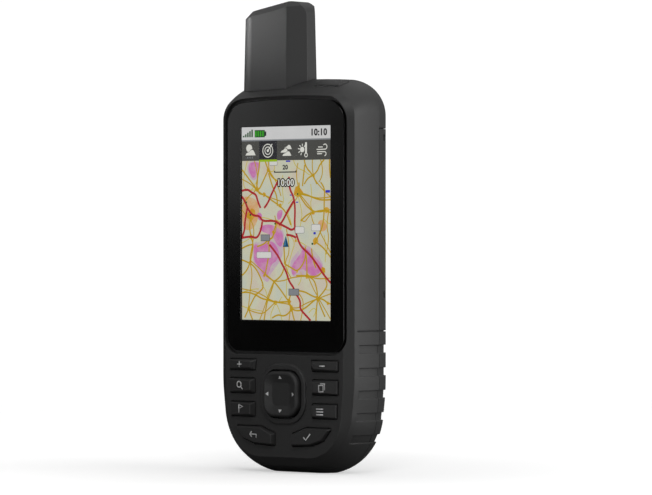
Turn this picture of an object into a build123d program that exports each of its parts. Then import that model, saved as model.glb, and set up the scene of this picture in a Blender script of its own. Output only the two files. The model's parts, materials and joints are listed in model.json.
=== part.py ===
from build123d import *
import math
import os

# Handheld satellite navigator, standing upright.
# +X is the user's right, -Y is the display side, +Z is up.
# The origin is at the middle of the foot that the unit stands on.
# All lengths are millimetres.

os.makedirs("parts", exist_ok=True)

# ---------------------------------------------------------------- driving dimensions
HALF_WIDTH = 31.0  # widest half width, at the seam
BODY_TOP = 136.0  # crown of the body under the antenna
OVERALL_HEIGHT = 163.0  # foot to antenna tip
FRONT_Y = -17.5  # rocker face, the foremost surface
REAR_Y = 17.5  # mounting spine, the rearmost surface
PLATEAU_Y = -15.1  # keypad surface
SEAM_Y = -1.3  # joint line between front housing and the rear pieces
WALL = 1.9  # housing wall
CROWN_RADIUS = 300.0  # very flat arch of the top edges
FLANK_RADIUS = 60.0  # soft bend where the flank starts to draw in
FLANK_LEAN = 83.5  # slope of the drawn-in flank in degrees
FLANK_RUN = 0.7  # how far the flank draws in along its straight stretch

REAR_CENTRE_Y = -2.1  # centre of the rounded rear quarter
REAR_RADIUS = 12.8

SCREEN_Z = 86.0  # middle of the display
LENS_HALF_WIDTH = 26.2
LENS_BOTTOM = 41.8
LENS_TOP = 128.8
LENS_FRONT_Y = -14.4
LENS_THICKNESS = 1.2
LENS_GROOVE = 1.1  # open groove round the lens
LEDGE_Y = -13.0  # where the lens adhesive sits
LEDGE_BACK_Y = -11.6

KEY_WALL_BACK_Y = -12.9  # inner face of the wall behind the keys
KEY_GAP = 0.3
MAT_Y = -11.1
BOARD_Y = -9.9
BOARD_THICKNESS = 1.0

DOOR_TOP = 118.3
DOOR_GAP = 0.25
DOOR_WALL = 1.7
FRAME_FRONT_Y = -3.1  # inner flange of the rear housing
FRAME_BACK_Y = -0.6

CELL_RADIUS = 7.15
CELL_LENGTH = 49.2
CELL_NUB = 1.0
CELL_X = 7.9
CELL_Y = 1.3
BAY_HALF_WIDTH = 16.2
BAY_BOTTOM = 49.2
BAY_TOP = 103.0
BAY_FLOOR_Y = -5.95
BAY_RIM_Y = 8.4
BAY_WALL = 1.2

LATCH_Z = 24.0
LATCH_SHAFT_RADIUS = 3.5
DOOR_BACK_Y = REAR_CENTRE_Y + REAR_RADIUS * math.sin(math.radians(82))

SCREW_SPOTS = [(x, z) for x in (-25.2, 25.2) for z in (44.0, 104.0)]
SCREW_RADIUS = 0.95
SCREW_HEAD_RADIUS = 1.9
SCREW_HOLE = 0.97  # tapped hole, a running fit on the thread
SCREW_CLEARANCE = 1.05
BOSS_RADIUS = 2.4


# ---------------------------------------------------------------- shared shapes
def at(y):
    """Upright workplane at depth y: local x is X, local y is Z, and it faces the user."""
    return Plane.XZ.offset(-y)


def section(y, half_width, bottom, top, corner, shoulder):
    """Front-view outline of the body: short foot, round corners, drawn-in flanks, arched top."""
    lean = math.radians(FLANK_LEAN)
    flank_x = half_width - FLANK_RADIUS * (1 - math.sin(lean))
    foot = flank_x - FLANK_RUN - corner * math.sin(lean)
    corner_end = (foot + corner * math.sin(lean), bottom + corner * (1 - math.cos(lean)))
    flank_start = (flank_x, corner_end[1] + FLANK_RUN * math.tan(lean))
    flank_end = (half_width, flank_start[1] + FLANK_RADIUS * math.cos(lean))
    half_lean = (lean + math.pi / 2) / 2
    flank_mid = (
        half_width - FLANK_RADIUS * (1 - math.sin(half_lean)),
        flank_end[1] - FLANK_RADIUS * math.cos(half_lean),
    )
    corner_mid = (foot + corner * math.sin(lean / 2), bottom + corner * (1 - math.cos(lean / 2)))
    tilt = math.asin((half_width - shoulder) / (CROWN_RADIUS - shoulder))
    shoulder_z = top - CROWN_RADIUS + (CROWN_RADIUS - shoulder) * math.cos(tilt)
    shoulder_x = half_width - shoulder
    shoulder_end = (shoulder_x + shoulder * math.sin(tilt), shoulder_z + shoulder * math.cos(tilt))
    turn = (tilt + math.pi / 2) / 2
    shoulder_mid = (shoulder_x + shoulder * math.sin(turn), shoulder_z + shoulder * math.cos(turn))
    with BuildSketch(at(y)) as face:
        with BuildLine():
            Line((-foot, bottom), (foot, bottom))
            for side in (1, -1):
                right = [
                    (foot, bottom),
                    corner_mid,
                    corner_end,
                    flank_start,
                    flank_mid,
                    flank_end,
                    (half_width, shoulder_z),
                    shoulder_mid,
                    shoulder_end,
                ]
                p = [(side * x, z) for x, z in right]
                ThreePointArc(p[0], p[1], p[2])
                Line(p[2], p[3])
                ThreePointArc(p[3], p[4], p[5])
                Line(p[5], p[6])
                ThreePointArc(p[6], p[7], p[8])
            x, z = shoulder_end
            ThreePointArc((-x, z), (0, top), (x, z))
        make_face()
    return face.sketch


def front_section(y, half_width, bottom, top, corner, shoulder, inset=0.0):
    """One front-view outline, drawn in by inset all round."""
    return section(
        y, half_width - inset, bottom + inset, top - inset, corner - inset, shoulder - inset
    )


# depth, half width, bottom, top, lower corner radius, shoulder radius
PLATEAU = (PLATEAU_Y, 26.3, 5.4, 129.3, 14.5, 6.0)
FRONT_EDGE = (-12.8, 29.46, 2.4, 130.8, 20.5, 8.0)
FRONT_SIDE = (-8.5, 30.35, 0.3, 133.7, 21.3, 10.0)
FRONT_SEAM = (SEAM_Y, HALF_WIDTH, -0.5, BODY_TOP, 22.0, 12.5)
FRONT_SIDES = [FRONT_SEAM, FRONT_SIDE, FRONT_EDGE]
REAR_ANGLES = (0, 18, 36, 54, 70, 82)  # stations round the rear quarter, in degrees
REAR_DRAW = 0.93  # how far the ends draw in for each millimetre of the flanks


def front_skin(inset=0.0):
    """Body in front of the seam, as far as the front edge."""
    with BuildPart() as skin:
        loft([front_section(*s, inset=inset) for s in FRONT_SIDES])
    return skin.part


def rear_skin(inset=0.0):
    """Body behind the seam: a rounded quarter all the way round, drawn in by inset."""
    sections = []
    radius = REAR_RADIUS - inset
    for degrees in REAR_ANGLES:
        turn = math.radians(degrees)
        draw = REAR_RADIUS - radius * math.cos(turn)
        y = REAR_CENTRE_Y + radius * math.sin(turn)
        sections.append(
            section(
                y,
                HALF_WIDTH - draw,
                FRONT_SEAM[2] + REAR_DRAW * draw,
                BODY_TOP - REAR_DRAW * draw,
                22.0 - draw,
                12.5 - 0.9 * draw,
            )
        )
    with BuildPart() as skin:
        loft(sections)
    return skin.part


def block(x0, x1, y0, y1, z0, z1):
    """Box given by its lowest and highest corners."""
    with BuildPart() as box:
        with Locations(((x0 + x1) / 2, (y0 + y1) / 2, (z0 + z1) / 2)):
            Box(abs(x1 - x0), abs(y1 - y0), abs(z1 - z0))
    return box.part


def rounded_slab(y0, y1, width, height, radius, x=0.0, z=0.0):
    """Rounded rectangle in front view, from depth y0 back to y1."""
    with BuildPart() as slab:
        with BuildSketch(at(y0)):
            with Locations((x, z)):
                RectangleRounded(width, height, radius)
        extrude(amount=-(y1 - y0))
    return slab.part


def rod(y0, y1, radius, x=0.0, z=0.0):
    """Round bar along Y, from depth y0 back to y1."""
    with BuildPart() as bar:
        with BuildSketch(at(y0)):
            with Locations((x, z)):
                Circle(radius)
        extrude(amount=-(y1 - y0))
    return bar.part


def save(part, name):
    """Label a finished piece and write its file."""
    part.label = name
    export_step(part, f"parts/{name}.step")


FAR = 200.0  # larger than the unit, for trimming
front_outer = front_skin()
rear_outer = rear_skin()

# ---------------------------------------------------------------- grip bands on the flanks
BAND_TOPS = (44.3, 36.5, 28.8, 21.1, 13.5)
BAND_HEIGHT = 2.8
BAND_DEPTH = 0.7
FINE_LINE_Z = 49.0  # thin groove above the bands
FINE_LINE_HEIGHT = 0.45

with BuildPart() as grip_bands:
    for band_top in BAND_TOPS:
        for side in (-1, 1):
            with BuildSketch(Plane.XY.offset(band_top - BAND_HEIGHT)):
                with Locations((side * 28.0, -0.8)):
                    RectangleRounded(18.0, 20.0, 1.4)
            extrude(amount=BAND_HEIGHT)
    with Locations((0, -1.0, FINE_LINE_Z)):
        Box(80.0, 21.0, FINE_LINE_HEIGHT)
    add(front_skin(BAND_DEPTH), mode=Mode.SUBTRACT)
    add(rear_skin(BAND_DEPTH), mode=Mode.SUBTRACT)


# ---------------------------------------------------------------- keys: outlines in front view
# Each key is given for the right-hand side; the left-hand one is its mirror image.
# hole is the opening in the housing, face is the smaller top of the cap.
KEY_ROWS = {
    "zoom": {
        "hole": [(12.6, 35.0), (24.4, 35.0), (24.4, 39.2), (12.0, 39.2)],
        "face": [(14.4, 36.1), (24.0, 36.1), (24.0, 38.2), (13.4, 38.2)],
    },
    "upper": {
        "hole": [(12.6, 27.0), (24.4, 27.0), (24.4, 32.6), (12.6, 32.6)],
        "face": [(13.9, 28.1), (24.0, 28.1), (24.0, 31.6), (13.9, 31.6)],
    },
    "lower": {
        "hole": [(12.6, 18.9), (23.9, 18.9), (24.1, 24.4), (12.6, 24.4)],
        "face": [(13.9, 19.9), (23.4, 19.9), (23.6, 23.5), (13.9, 23.5)],
    },
    "corner": {
        "hole": [(3.7, 9.0), (12.8, 9.5), (17.8, 11.2), (21.9, 16.1), (10.4, 16.2), (3.7, 13.9)],
        "face": [(4.5, 9.9), (12.4, 10.3), (17.0, 11.8), (20.5, 15.3), (9.5, 15.4), (4.5, 13.0)],
    },
}
KEYS = [
    ("zoom_in_key", "zoom", -1),
    ("zoom_out_key", "zoom", 1),
    ("find_key", "upper", -1),
    ("page_key", "upper", 1),
    ("mark_key", "lower", -1),
    ("menu_key", "lower", 1),
    ("quit_key", "corner", -1),
    ("enter_key", "corner", 1),
]
KEY_INNER_Y = -16.8  # cap height at its end near the rocker
KEY_SLOPE = 5.6  # the cap falls away towards the flank, in degrees
CORNER_KEY_SLOPE = 2.0
KEY_EDGE = 0.18  # chamfer round the cap's face
KEEPER_Y = -12.6  # flange that keeps the key behind the wall
KEEPER_DEPTH = 0.6
KEEPER_LIP = 0.5
SHANK_BACK_Y = -12.3


def key_outline(points, y, shrink=0.0, radius=0.6):
    """Rounded key outline on the workplane at depth y."""
    with BuildSketch(at(y)) as shape:
        with BuildLine():
            Polyline(*points, close=True)
        make_face()
        fillet(shape.vertices(), radius)
        if shrink:
            offset(amount=-shrink, mode=Mode.REPLACE)
    return shape.sketch


def key_cap(row):
    """A right-hand key: drafted cap with a sloping top, a shank through the wall and a keeper flange."""
    hole = KEY_ROWS[row]["hole"]
    face = KEY_ROWS[row]["face"]
    inner_x = min(x for x, z in face)
    rise = CORNER_KEY_SLOPE if row == "corner" else KEY_SLOPE
    outer = max(x for x, z in face)
    with BuildPart() as key:
        loft(
            [
                key_outline(hole, PLATEAU_Y, KEY_GAP),
                key_outline(face, KEY_INNER_Y - 0.01, 0.0, 0.4),
            ],
            ruled=True,
        )
        # the top slopes down towards the flank
        cut_plane = Plane(
            origin=(inner_x, KEY_INNER_Y, 0),
            x_dir=(0, 0, 1),
            z_dir=(math.sin(math.radians(rise)), -math.cos(math.radians(rise)), 0),
        )
        with BuildSketch(cut_plane):
            Rectangle(4 * outer, 4 * outer)
        extrude(amount=5.0, mode=Mode.SUBTRACT)
        front = key.faces().sort_by(Axis.Y)[0]
        chamfer(front.edges(), KEY_EDGE)
        extrude(key_outline(hole, PLATEAU_Y, KEY_GAP), amount=PLATEAU_Y - SHANK_BACK_Y)
        extrude(key_outline(hole, KEEPER_Y, -KEEPER_LIP), amount=-KEEPER_DEPTH)
    return key.part


# ---------------------------------------------------------------- front housing
POWER_X = 14.6
LENS_CORNER_TOP = 7.6
LENS_CORNER_BOTTOM = 5.0
LENS_ARCH = 1.1  # rise of the top edge at its middle
WINDOW_WIDTH = 44.8  # opening in the ledge that the panel sits in
WINDOW_HEIGHT = 74.2


def lens_outline(y, grow=0.0):
    """Lens outline with a faint arch along its top edge, grown by grow."""
    half = LENS_HALF_WIDTH
    with BuildSketch(at(y)) as shape:
        with BuildLine():
            Line((-half, LENS_BOTTOM), (half, LENS_BOTTOM))
            Line((half, LENS_BOTTOM), (half, LENS_TOP - LENS_ARCH))
            ThreePointArc((half, LENS_TOP - LENS_ARCH), (0, LENS_TOP), (-half, LENS_TOP - LENS_ARCH))
            Line((-half, LENS_TOP - LENS_ARCH), (-half, LENS_BOTTOM))
        make_face()
        fillet(shape.vertices().group_by(Axis.Y)[-1], LENS_CORNER_TOP)
        fillet(shape.vertices().group_by(Axis.Y)[0], LENS_CORNER_BOTTOM)
        if grow:
            offset(amount=grow, mode=Mode.REPLACE)
    return shape.sketch


ROCKER_Z = 27.2
ROCKER_WIDTH = 15.5
ROCKER_HEIGHT = 15.7
ROCKER_GAP = 0.65
RIM_Y = -15.8  # raised rim round the rocker
RIM_WIDTH = 20.3
RIM_HEIGHT = 20.8


def power_outline(z, shrink=0.0):
    """Plan outline of the power key, with its slanted outer end."""
    with BuildSketch(Plane.XY.offset(z)) as shape:
        with BuildLine():
            Polyline((8.6, -9.4), (19.2, -9.4), (21.4, -4.6), (8.6, -4.6), close=True)
        make_face()
        fillet(shape.vertices(), 1.0)
        if shrink:
            offset(amount=-shrink, mode=Mode.REPLACE)
    return shape.sketch


POCKET_TOP = 40.2  # upper end of the thin wall behind the keys
FEED_X = -11.6
FEED_Y = -5.0
FEED_Z = 133.0
POWER_TRAVEL_BOTTOM = 127.0

with BuildPart() as front_housing:
    add(front_outer)
    loft([front_section(*FRONT_EDGE), front_section(*PLATEAU)], ruled=True)
    # main cavity behind the display ledge
    cavity = [(SEAM_Y + 0.2, *FRONT_SEAM[1:]), FRONT_SIDE, (LEDGE_BACK_Y, *FRONT_EDGE[1:])]
    loft([front_section(*s, inset=WALL) for s in cavity], mode=Mode.SUBTRACT)
    # deeper pocket behind the keypad, where the wall is thin
    pocket = front_section(LEDGE_BACK_Y + 0.1, *FRONT_EDGE[1:], inset=2.6)
    add(
        extrude(pocket, amount=LEDGE_BACK_Y + 0.1 - KEY_WALL_BACK_Y, mode=Mode.PRIVATE)
        & block(-FAR, FAR, -20, 0, 0, POCKET_TOP),
        mode=Mode.SUBTRACT,
    )
    # recess for the lens, and the window that the panel sits in
    extrude(lens_outline(LEDGE_Y, LENS_GROOVE), amount=5.0, mode=Mode.SUBTRACT)
    with BuildSketch(at(-16.0)):
        with Locations((0, SCREEN_Z)):
            Rectangle(WINDOW_WIDTH, WINDOW_HEIGHT)
    extrude(amount=-6.0, mode=Mode.SUBTRACT)
    # screw bosses
    for x, z in SCREW_SPOTS:
        add(rod(-11.8, FRAME_FRONT_Y - 0.6, BOSS_RADIUS, x, z))
    # rocker opening with its raised rim
    with BuildSketch(at(PLATEAU_Y + 0.1)):
        with Locations((0, ROCKER_Z)):
            RectangleRounded(RIM_WIDTH, RIM_HEIGHT, 8.0)
    extrude(amount=PLATEAU_Y + 0.1 - RIM_Y)
    rim = front_housing.faces().filter_by(Axis.Y).sort_by(Axis.Y)[0]
    fillet(rim.edges(), 0.45)
    with BuildSketch(at(-20.0)):
        with Locations((0, ROCKER_Z)):
            RectangleRounded(ROCKER_WIDTH + 2 * ROCKER_GAP, ROCKER_HEIGHT + 2 * ROCKER_GAP, 5.6)
    extrude(amount=-8.0, mode=Mode.SUBTRACT)
    # key holes
    for row in KEY_ROWS.values():
        hole = extrude(key_outline(row["hole"], -17.0), amount=-5.0, mode=Mode.SUBTRACT)
        mirror(hole, about=Plane.YZ, mode=Mode.SUBTRACT)
    for x, z in SCREW_SPOTS:
        add(rod(-9.6, 0.0, SCREW_HOLE, x, z), mode=Mode.SUBTRACT)
    # openings in the top wall: power key and antenna feed
    extrude(power_outline(POWER_TRAVEL_BOTTOM), amount=12.0, mode=Mode.SUBTRACT)
    with Locations((FEED_X, FEED_Y, FEED_Z)):
        Cylinder(1.4, 12.0, mode=Mode.SUBTRACT)
    add(grip_bands.part, mode=Mode.SUBTRACT)
    add(block(-FAR, FAR, -FAR, FAR, -20, 0), mode=Mode.SUBTRACT)
save(front_housing.part, "front_housing")

# ---------------------------------------------------------------- display stack
with BuildPart() as display_lens:
    extrude(lens_outline(LENS_FRONT_Y + LENS_THICKNESS), amount=LENS_THICKNESS)
    front = display_lens.faces().sort_by(Axis.Y)[0]
    chamfer(front.edges(), 0.3)
save(display_lens.part, "display_lens")

with BuildPart() as lens_adhesive:
    extrude(lens_outline(LEDGE_Y, -0.4), amount=0.2)
    with BuildSketch(at(-16.0)):
        with Locations((0, SCREEN_Z)):
            Rectangle(WINDOW_WIDTH + 0.6, WINDOW_HEIGHT + 0.6)
    extrude(amount=-6.0, mode=Mode.SUBTRACT)
save(lens_adhesive.part, "lens_adhesive")

lcd_panel = rounded_slab(-13.1, -11.7, 44.0, 73.2, 0.6, 0, SCREEN_Z)
save(lcd_panel, "lcd_panel")

with BuildPart() as lcd_backlight:
    add(rounded_slab(LEDGE_BACK_Y, -10.0, 45.0, 77.6, 1.2, 0, SCREEN_Z))
    add(rounded_slab(LEDGE_BACK_Y, -11.2, 43.0, 72.0, 0.8, 0, SCREEN_Z), mode=Mode.SUBTRACT)
save(lcd_backlight.part, "lcd_backlight")

# ---------------------------------------------------------------- keypad
for name, row, side in KEYS:
    right_hand = key_cap(row)
    save(right_hand if side > 0 else mirror(right_hand, about=Plane.YZ), name)

ROCKER_FLANGE_Y = -12.3  # behind the wall, with room for the cap to tilt
FLANGE_THICKNESS = 0.6

with BuildPart() as rocker_cap:
    with BuildSketch(at(ROCKER_FLANGE_Y)):
        with Locations((0, ROCKER_Z)):
            RectangleRounded(ROCKER_WIDTH, ROCKER_HEIGHT, 5.0)
    extrude(amount=ROCKER_FLANGE_Y - FRONT_Y)
    front = rocker_cap.faces().sort_by(Axis.Y)[0]
    fillet(front.edges(), 0.9)
    # dished thumb rest: four slopes round a flat middle
    with BuildSketch(at(FRONT_Y - 0.01)):
        with Locations((0, ROCKER_Z)):
            RectangleRounded(13.4, 13.6, 4.0)
    with BuildSketch(at(FRONT_Y + 0.9)):
        with Locations((0, ROCKER_Z)):
            RectangleRounded(7.8, 7.9, 1.6)
    loft(mode=Mode.SUBTRACT)
    with BuildSketch(at(ROCKER_FLANGE_Y)):
        with Locations((0, ROCKER_Z)):
            RectangleRounded(ROCKER_WIDTH + 2.6, ROCKER_HEIGHT + 2.6, 7.5)
    extrude(amount=-FLANGE_THICKNESS)
    add(rod(-13.9, -11.0, 2.9, 0, ROCKER_Z), mode=Mode.SUBTRACT)
save(rocker_cap.part, "rocker_cap")

with BuildPart() as rocker_post:
    add(rod(-13.6, -11.5, 2.4, 0, ROCKER_Z))
    fillet(rocker_post.edges().sort_by(Axis.Y)[0], 0.5)
save(rocker_post.part, "rocker_post")

MAT_OUTLINE = (25.4, 7.2, 118.0, 15.0, 6.0)
KEYPAD_TOP = 40.0
with BuildPart() as keypad_mat:
    add(
        extrude(section(MAT_Y + 0.8, *MAT_OUTLINE), amount=0.8, mode=Mode.PRIVATE)
        & block(-FAR, FAR, -20, 0, 0, KEYPAD_TOP)
    )
save(keypad_mat.part, "keypad_mat")

with BuildPart() as dome_sheet:
    add(
        extrude(section(-10.0, *MAT_OUTLINE), amount=0.3, mode=Mode.PRIVATE)
        & block(-FAR, FAR, -20, 0, 0, KEYPAD_TOP - 1.0)
    )
save(dome_sheet.part, "dome_sheet")

with BuildPart() as power_key:
    extrude(power_outline(129.0, 0.25), amount=9.0)
    add(front_skin(-0.5), mode=Mode.INTERSECT)
    extrude(power_outline(128.6, -0.7), amount=0.7)
save(power_key.part, "power_key")

with BuildPart() as power_switch:
    add(block(POWER_X - 2.6, POWER_X + 2.6, -8.9, -3.9, 125.6, 127.4))
    with Locations((POWER_X, -6.6, 127.55)):
        Cylinder(1.2, 0.4)
save(power_switch.part, "power_switch")

# ---------------------------------------------------------------- electronics
with BuildPart() as main_board:
    extrude(section(BOARD_Y + BOARD_THICKNESS, 25.6, 6.4, 127.4, 16.0, 6.0), amount=BOARD_THICKNESS)
    for x, z in SCREW_SPOTS:
        add(rod(-12, 0, 2.9, x, z), mode=Mode.SUBTRACT)
save(main_board.part, "main_board")

BOARD_BACK_Y = BOARD_Y + BOARD_THICKNESS
CAN_SHEET = 0.25  # sheet thickness of the shield cans
CHIP_DEPTH = 1.1
CHIPS = [  # x, z, width, height
    (10.0, 66.0, 12.0, 12.0),
    (-8.0, 60.0, 9.0, 12.0),
    (-16.0, 34.0, 6.0, 6.0),
    (8.0, 46.0, 8.0, 5.0),
]


def cover(x, z, width, height, depth):
    """Folded shield can on the back of the board, open towards it."""
    with BuildPart() as can:
        add(rounded_slab(BOARD_BACK_Y, BOARD_BACK_Y + depth, width, height, 0.8, x, z))
        roof_y = BOARD_BACK_Y + depth - CAN_SHEET
        inner = (width - 2 * CAN_SHEET, height - 2 * CAN_SHEET)
        add(rounded_slab(BOARD_BACK_Y - 0.1, roof_y, *inner, 0.6, x, z), mode=Mode.SUBTRACT)
    return can.part


with BuildPart() as shield_cans:
    add(cover(-11.0, 84.0, 21.0, 27.0, 1.5))
    add(cover(12.5, 88.0, 17.0, 19.0, 1.5))
save(shield_cans.part, "shield_cans")

with BuildPart() as board_chips:
    for x, z, width, height in CHIPS:
        add(rounded_slab(BOARD_BACK_Y, BOARD_BACK_Y + CHIP_DEPTH, width, height, 0.3, x, z))
save(board_chips.part, "board_chips")

with BuildPart() as sounder:
    add(rod(BOARD_BACK_Y, BOARD_BACK_Y + 2.6, 5.5, -14.0, 112.5))
    add(rod(BOARD_BACK_Y + 2.2, BOARD_BACK_Y + 3.0, 1.0, -14.0, 112.5), mode=Mode.SUBTRACT)
save(sounder.part, "sounder")

# ---------------------------------------------------------------- rear housing: flange, cell bay, top cover
USB_X = -13.0
USB_Z = 123.3
TORCH_X = 13.0
TORCH_Z = 124.0
TORCH_RADIUS = 2.8
VENT_Z = 123.0
WELL_RADIUS = 6.8

with BuildPart() as rear_housing:
    # top cover
    add(rear_outer & block(-FAR, FAR, SEAM_Y, FAR, DOOR_TOP + 0.3, FAR))
    add(rear_skin(1.8) & block(-FAR, FAR, FRAME_BACK_Y, FAR, DOOR_TOP + 2.1, FAR), mode=Mode.SUBTRACT)
    # flange that closes the front housing
    extrude(front_section(FRAME_BACK_Y, *FRONT_SEAM[1:], inset=2.3), amount=FRAME_BACK_Y - FRAME_FRONT_Y)
    # cell bay
    add(
        block(
            -BAY_HALF_WIDTH - BAY_WALL,
            BAY_HALF_WIDTH + BAY_WALL,
            BAY_FLOOR_Y - BAY_WALL,
            BAY_RIM_Y,
            BAY_BOTTOM - BAY_WALL,
            BAY_TOP + BAY_WALL,
        )
    )
    add(block(-BAY_HALF_WIDTH, BAY_HALF_WIDTH, BAY_FLOOR_Y, FAR, BAY_BOTTOM, BAY_TOP), mode=Mode.SUBTRACT)
    # round well that the latch cam turns in
    add(rod(FRAME_BACK_Y - 0.1, 5.6, WELL_RADIUS + 1.6, 0, LATCH_Z))
    add(rod(FRAME_BACK_Y, 9.0, WELL_RADIUS, 0, LATCH_Z), mode=Mode.SUBTRACT)
    # passage between the front housing and the top cover
    add(block(-20, 20, -9, FRAME_BACK_Y + 0.1, 121.2, 129.0), mode=Mode.SUBTRACT)
    # screw holes
    for x, z in SCREW_SPOTS:
        add(rod(-9.0, 5.0, SCREW_CLEARANCE, x, z), mode=Mode.SUBTRACT)
    # socket recess and plug hole, torch hole, vent holes
    add(rounded_slab(9.3, 20.0, 12.4, 7.0, 2.4, USB_X, USB_Z), mode=Mode.SUBTRACT)
    add(rounded_slab(6.0, 12.0, 7.4, 3.4, 0.8, USB_X, USB_Z), mode=Mode.SUBTRACT)
    add(rod(5.0, 20.0, TORCH_RADIUS, TORCH_X, TORCH_Z), mode=Mode.SUBTRACT)
    for x in (-1.4, 0.0, 1.4):
        add(rod(5.0, 20.0, 0.4, x, VENT_Z), mode=Mode.SUBTRACT)
save(rear_housing.part, "rear_housing")

with BuildPart() as housing_gasket:
    extrude(front_section(FRAME_FRONT_Y, *FRONT_SEAM[1:], inset=2.5), amount=0.5)
    extrude(front_section(FRAME_FRONT_Y + 1, *FRONT_SEAM[1:], inset=4.1), amount=3.0, mode=Mode.SUBTRACT)
save(housing_gasket.part, "housing_gasket")

with BuildPart() as door_gasket:
    add(
        extrude(front_section(FRAME_BACK_Y + 0.9, *FRONT_SEAM[1:], inset=2.7), amount=0.9, mode=Mode.PRIVATE)
        & block(-FAR, FAR, -FAR, FAR, 0, DOOR_TOP - 0.6)
    )
    add(
        extrude(front_section(FRAME_BACK_Y + 2, *FRONT_SEAM[1:], inset=3.9), amount=4.0, mode=Mode.PRIVATE)
        & block(-FAR, FAR, -FAR, FAR, 0, DOOR_TOP - 1.8),
        mode=Mode.SUBTRACT,
    )
save(door_gasket.part, "door_gasket")

with BuildPart() as housing_screws:
    for x, z in SCREW_SPOTS:
        add(rod(FRAME_BACK_Y, FRAME_BACK_Y + 1.3, SCREW_HEAD_RADIUS, x, z))
        add(rod(-9.0, FRAME_BACK_Y, SCREW_RADIUS, x, z))
    for x, z in SCREW_SPOTS:
        add(block(x - 1.1, x + 1.1, FRAME_BACK_Y + 0.7, 4.0, z - 0.25, z + 0.25), mode=Mode.SUBTRACT)
        add(block(x - 0.25, x + 0.25, FRAME_BACK_Y + 0.7, 4.0, z - 1.1, z + 1.1), mode=Mode.SUBTRACT)
save(housing_screws.part, "housing_screws")

# ---------------------------------------------------------------- cells and contacts
SPRING_HEIGHT = 2.8
CONTACT_THICKNESS = 0.4


def cell(x, up):
    """Round cell with its button end up or down."""
    low = BAY_BOTTOM + CONTACT_THICKNESS + (SPRING_HEIGHT if up else CELL_NUB)
    button = low + CELL_LENGTH if up else low - CELL_NUB
    with BuildPart() as battery:
        with BuildSketch(Plane.XY.offset(low)):
            with Locations((x, CELL_Y)):
                Circle(CELL_RADIUS)
        extrude(amount=CELL_LENGTH)
        fillet(battery.edges().filter_by(GeomType.CIRCLE), 0.6)
        with BuildSketch(Plane.XY.offset(button)):
            with Locations((x, CELL_Y)):
                Circle(2.7)
        extrude(amount=CELL_NUB)
    return battery.part


save(cell(-CELL_X, True), "cell_left")
save(cell(CELL_X, False), "cell_right")

with BuildPart() as contact_plates:
    for x in (-CELL_X, CELL_X):
        add(block(x - 6.0, x + 6.0, -3.6, 6.6, BAY_BOTTOM, BAY_BOTTOM + CONTACT_THICKNESS))
        add(block(x - 6.0, x + 6.0, -3.6, 6.6, BAY_TOP - CONTACT_THICKNESS, BAY_TOP))
save(contact_plates.part, "contact_plates")


def cone_spring(x, start_z, direction):
    """Short conical contact spring, wide end on the plate."""
    with BuildPart() as spring:
        with BuildLine() as coil:
            Helix(
                pitch=0.9,
                height=SPRING_HEIGHT - 0.55,
                radius=3.4,
                center=(x, CELL_Y, start_z),
                direction=(0, 0, direction),
                cone_angle=-24,
            )
        with BuildSketch(Plane(origin=coil.line @ 0, z_dir=coil.line % 0)):
            Circle(0.24)
        sweep()
    return spring.part


with BuildPart() as contact_springs:
    add(cone_spring(-CELL_X, BAY_BOTTOM + CONTACT_THICKNESS + 0.27, 1))
    add(cone_spring(CELL_X, BAY_TOP - CONTACT_THICKNESS - 0.27, -1))
save(contact_springs.part, "contact_springs")

# ---------------------------------------------------------------- memory card
with BuildPart() as card_holder:
    add(block(-22.0, -9.4, FRAME_BACK_Y, 1.3, 30.0, 44.0))
    add(block(-21.3, -10.1, -0.15, 0.85, 29.0, 43.2), mode=Mode.SUBTRACT)
save(card_holder.part, "card_holder")

with BuildPart() as memory_card:
    with BuildSketch(at(0.0)):
        with BuildLine():
            Polyline(
                (-21.2, 28.1),
                (-10.2, 28.1),
                (-10.2, 41.6),
                (-11.7, 43.1),
                (-21.2, 43.1),
                close=True,
            )
        make_face()
    extrude(amount=-0.7)
save(memory_card.part, "memory_card")

# ---------------------------------------------------------------- socket, cap, torch, vent
with BuildPart() as usb_socket:
    add(rounded_slab(1.2, 7.4, 7.6, 3.0, 0.8, USB_X, USB_Z))
    add(rounded_slab(2.4, 8.0, 6.9, 2.3, 0.6, USB_X, USB_Z), mode=Mode.SUBTRACT)
    add(rounded_slab(2.3, 5.6, 5.0, 0.7, 0.1, USB_X, USB_Z))
save(usb_socket.part, "usb_socket")

with BuildPart() as usb_cap:
    add(rounded_slab(9.45, 10.9, 11.9, 6.5, 2.2, USB_X, USB_Z))
    back = usb_cap.faces().sort_by(Axis.Y)[-1]
    fillet(back.edges(), 0.5)
    add(rounded_slab(8.0, 9.6, 5.6, 1.9, 0.6, USB_X, USB_Z))
    with Locations((USB_X + 5.2, 10.95, USB_Z)):
        Box(0.8, 0.4, 3.2)
save(usb_cap.part, "usb_cap")

with BuildPart() as torch_lens:
    add(rod(8.0, 10.45, TORCH_RADIUS - 0.02, TORCH_X, TORCH_Z))
    add(rod(7.4, 8.0, TORCH_RADIUS + 0.6, TORCH_X, TORCH_Z))
    fillet(torch_lens.edges().sort_by(Axis.Y)[-1], 0.4)
save(torch_lens.part, "torch_lens")

with BuildPart() as torch_led:
    add(block(TORCH_X - 2.5, TORCH_X + 2.5, 4.0, 5.0, TORCH_Z - 2.5, TORCH_Z + 2.5))
    with Locations((TORCH_X, 5.7, TORCH_Z)):
        Box(3.0, 1.6, 3.0)
save(torch_led.part, "torch_led")

vent_membrane = rod(8.3, 8.75, 2.3, 0, VENT_Z)
save(vent_membrane, "vent_membrane")

# ---------------------------------------------------------------- battery door with spine and latch
SPINE_BOTTOM = 78.0
SPINE_TOP = 112.0
SPINE_SCREW_Z = (84.0, 106.0)
SEAL_RADIUS = 0.62
SNAP_Y = 2.6
SNAP_HEIGHTS = (115.2, 61.4)

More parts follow.
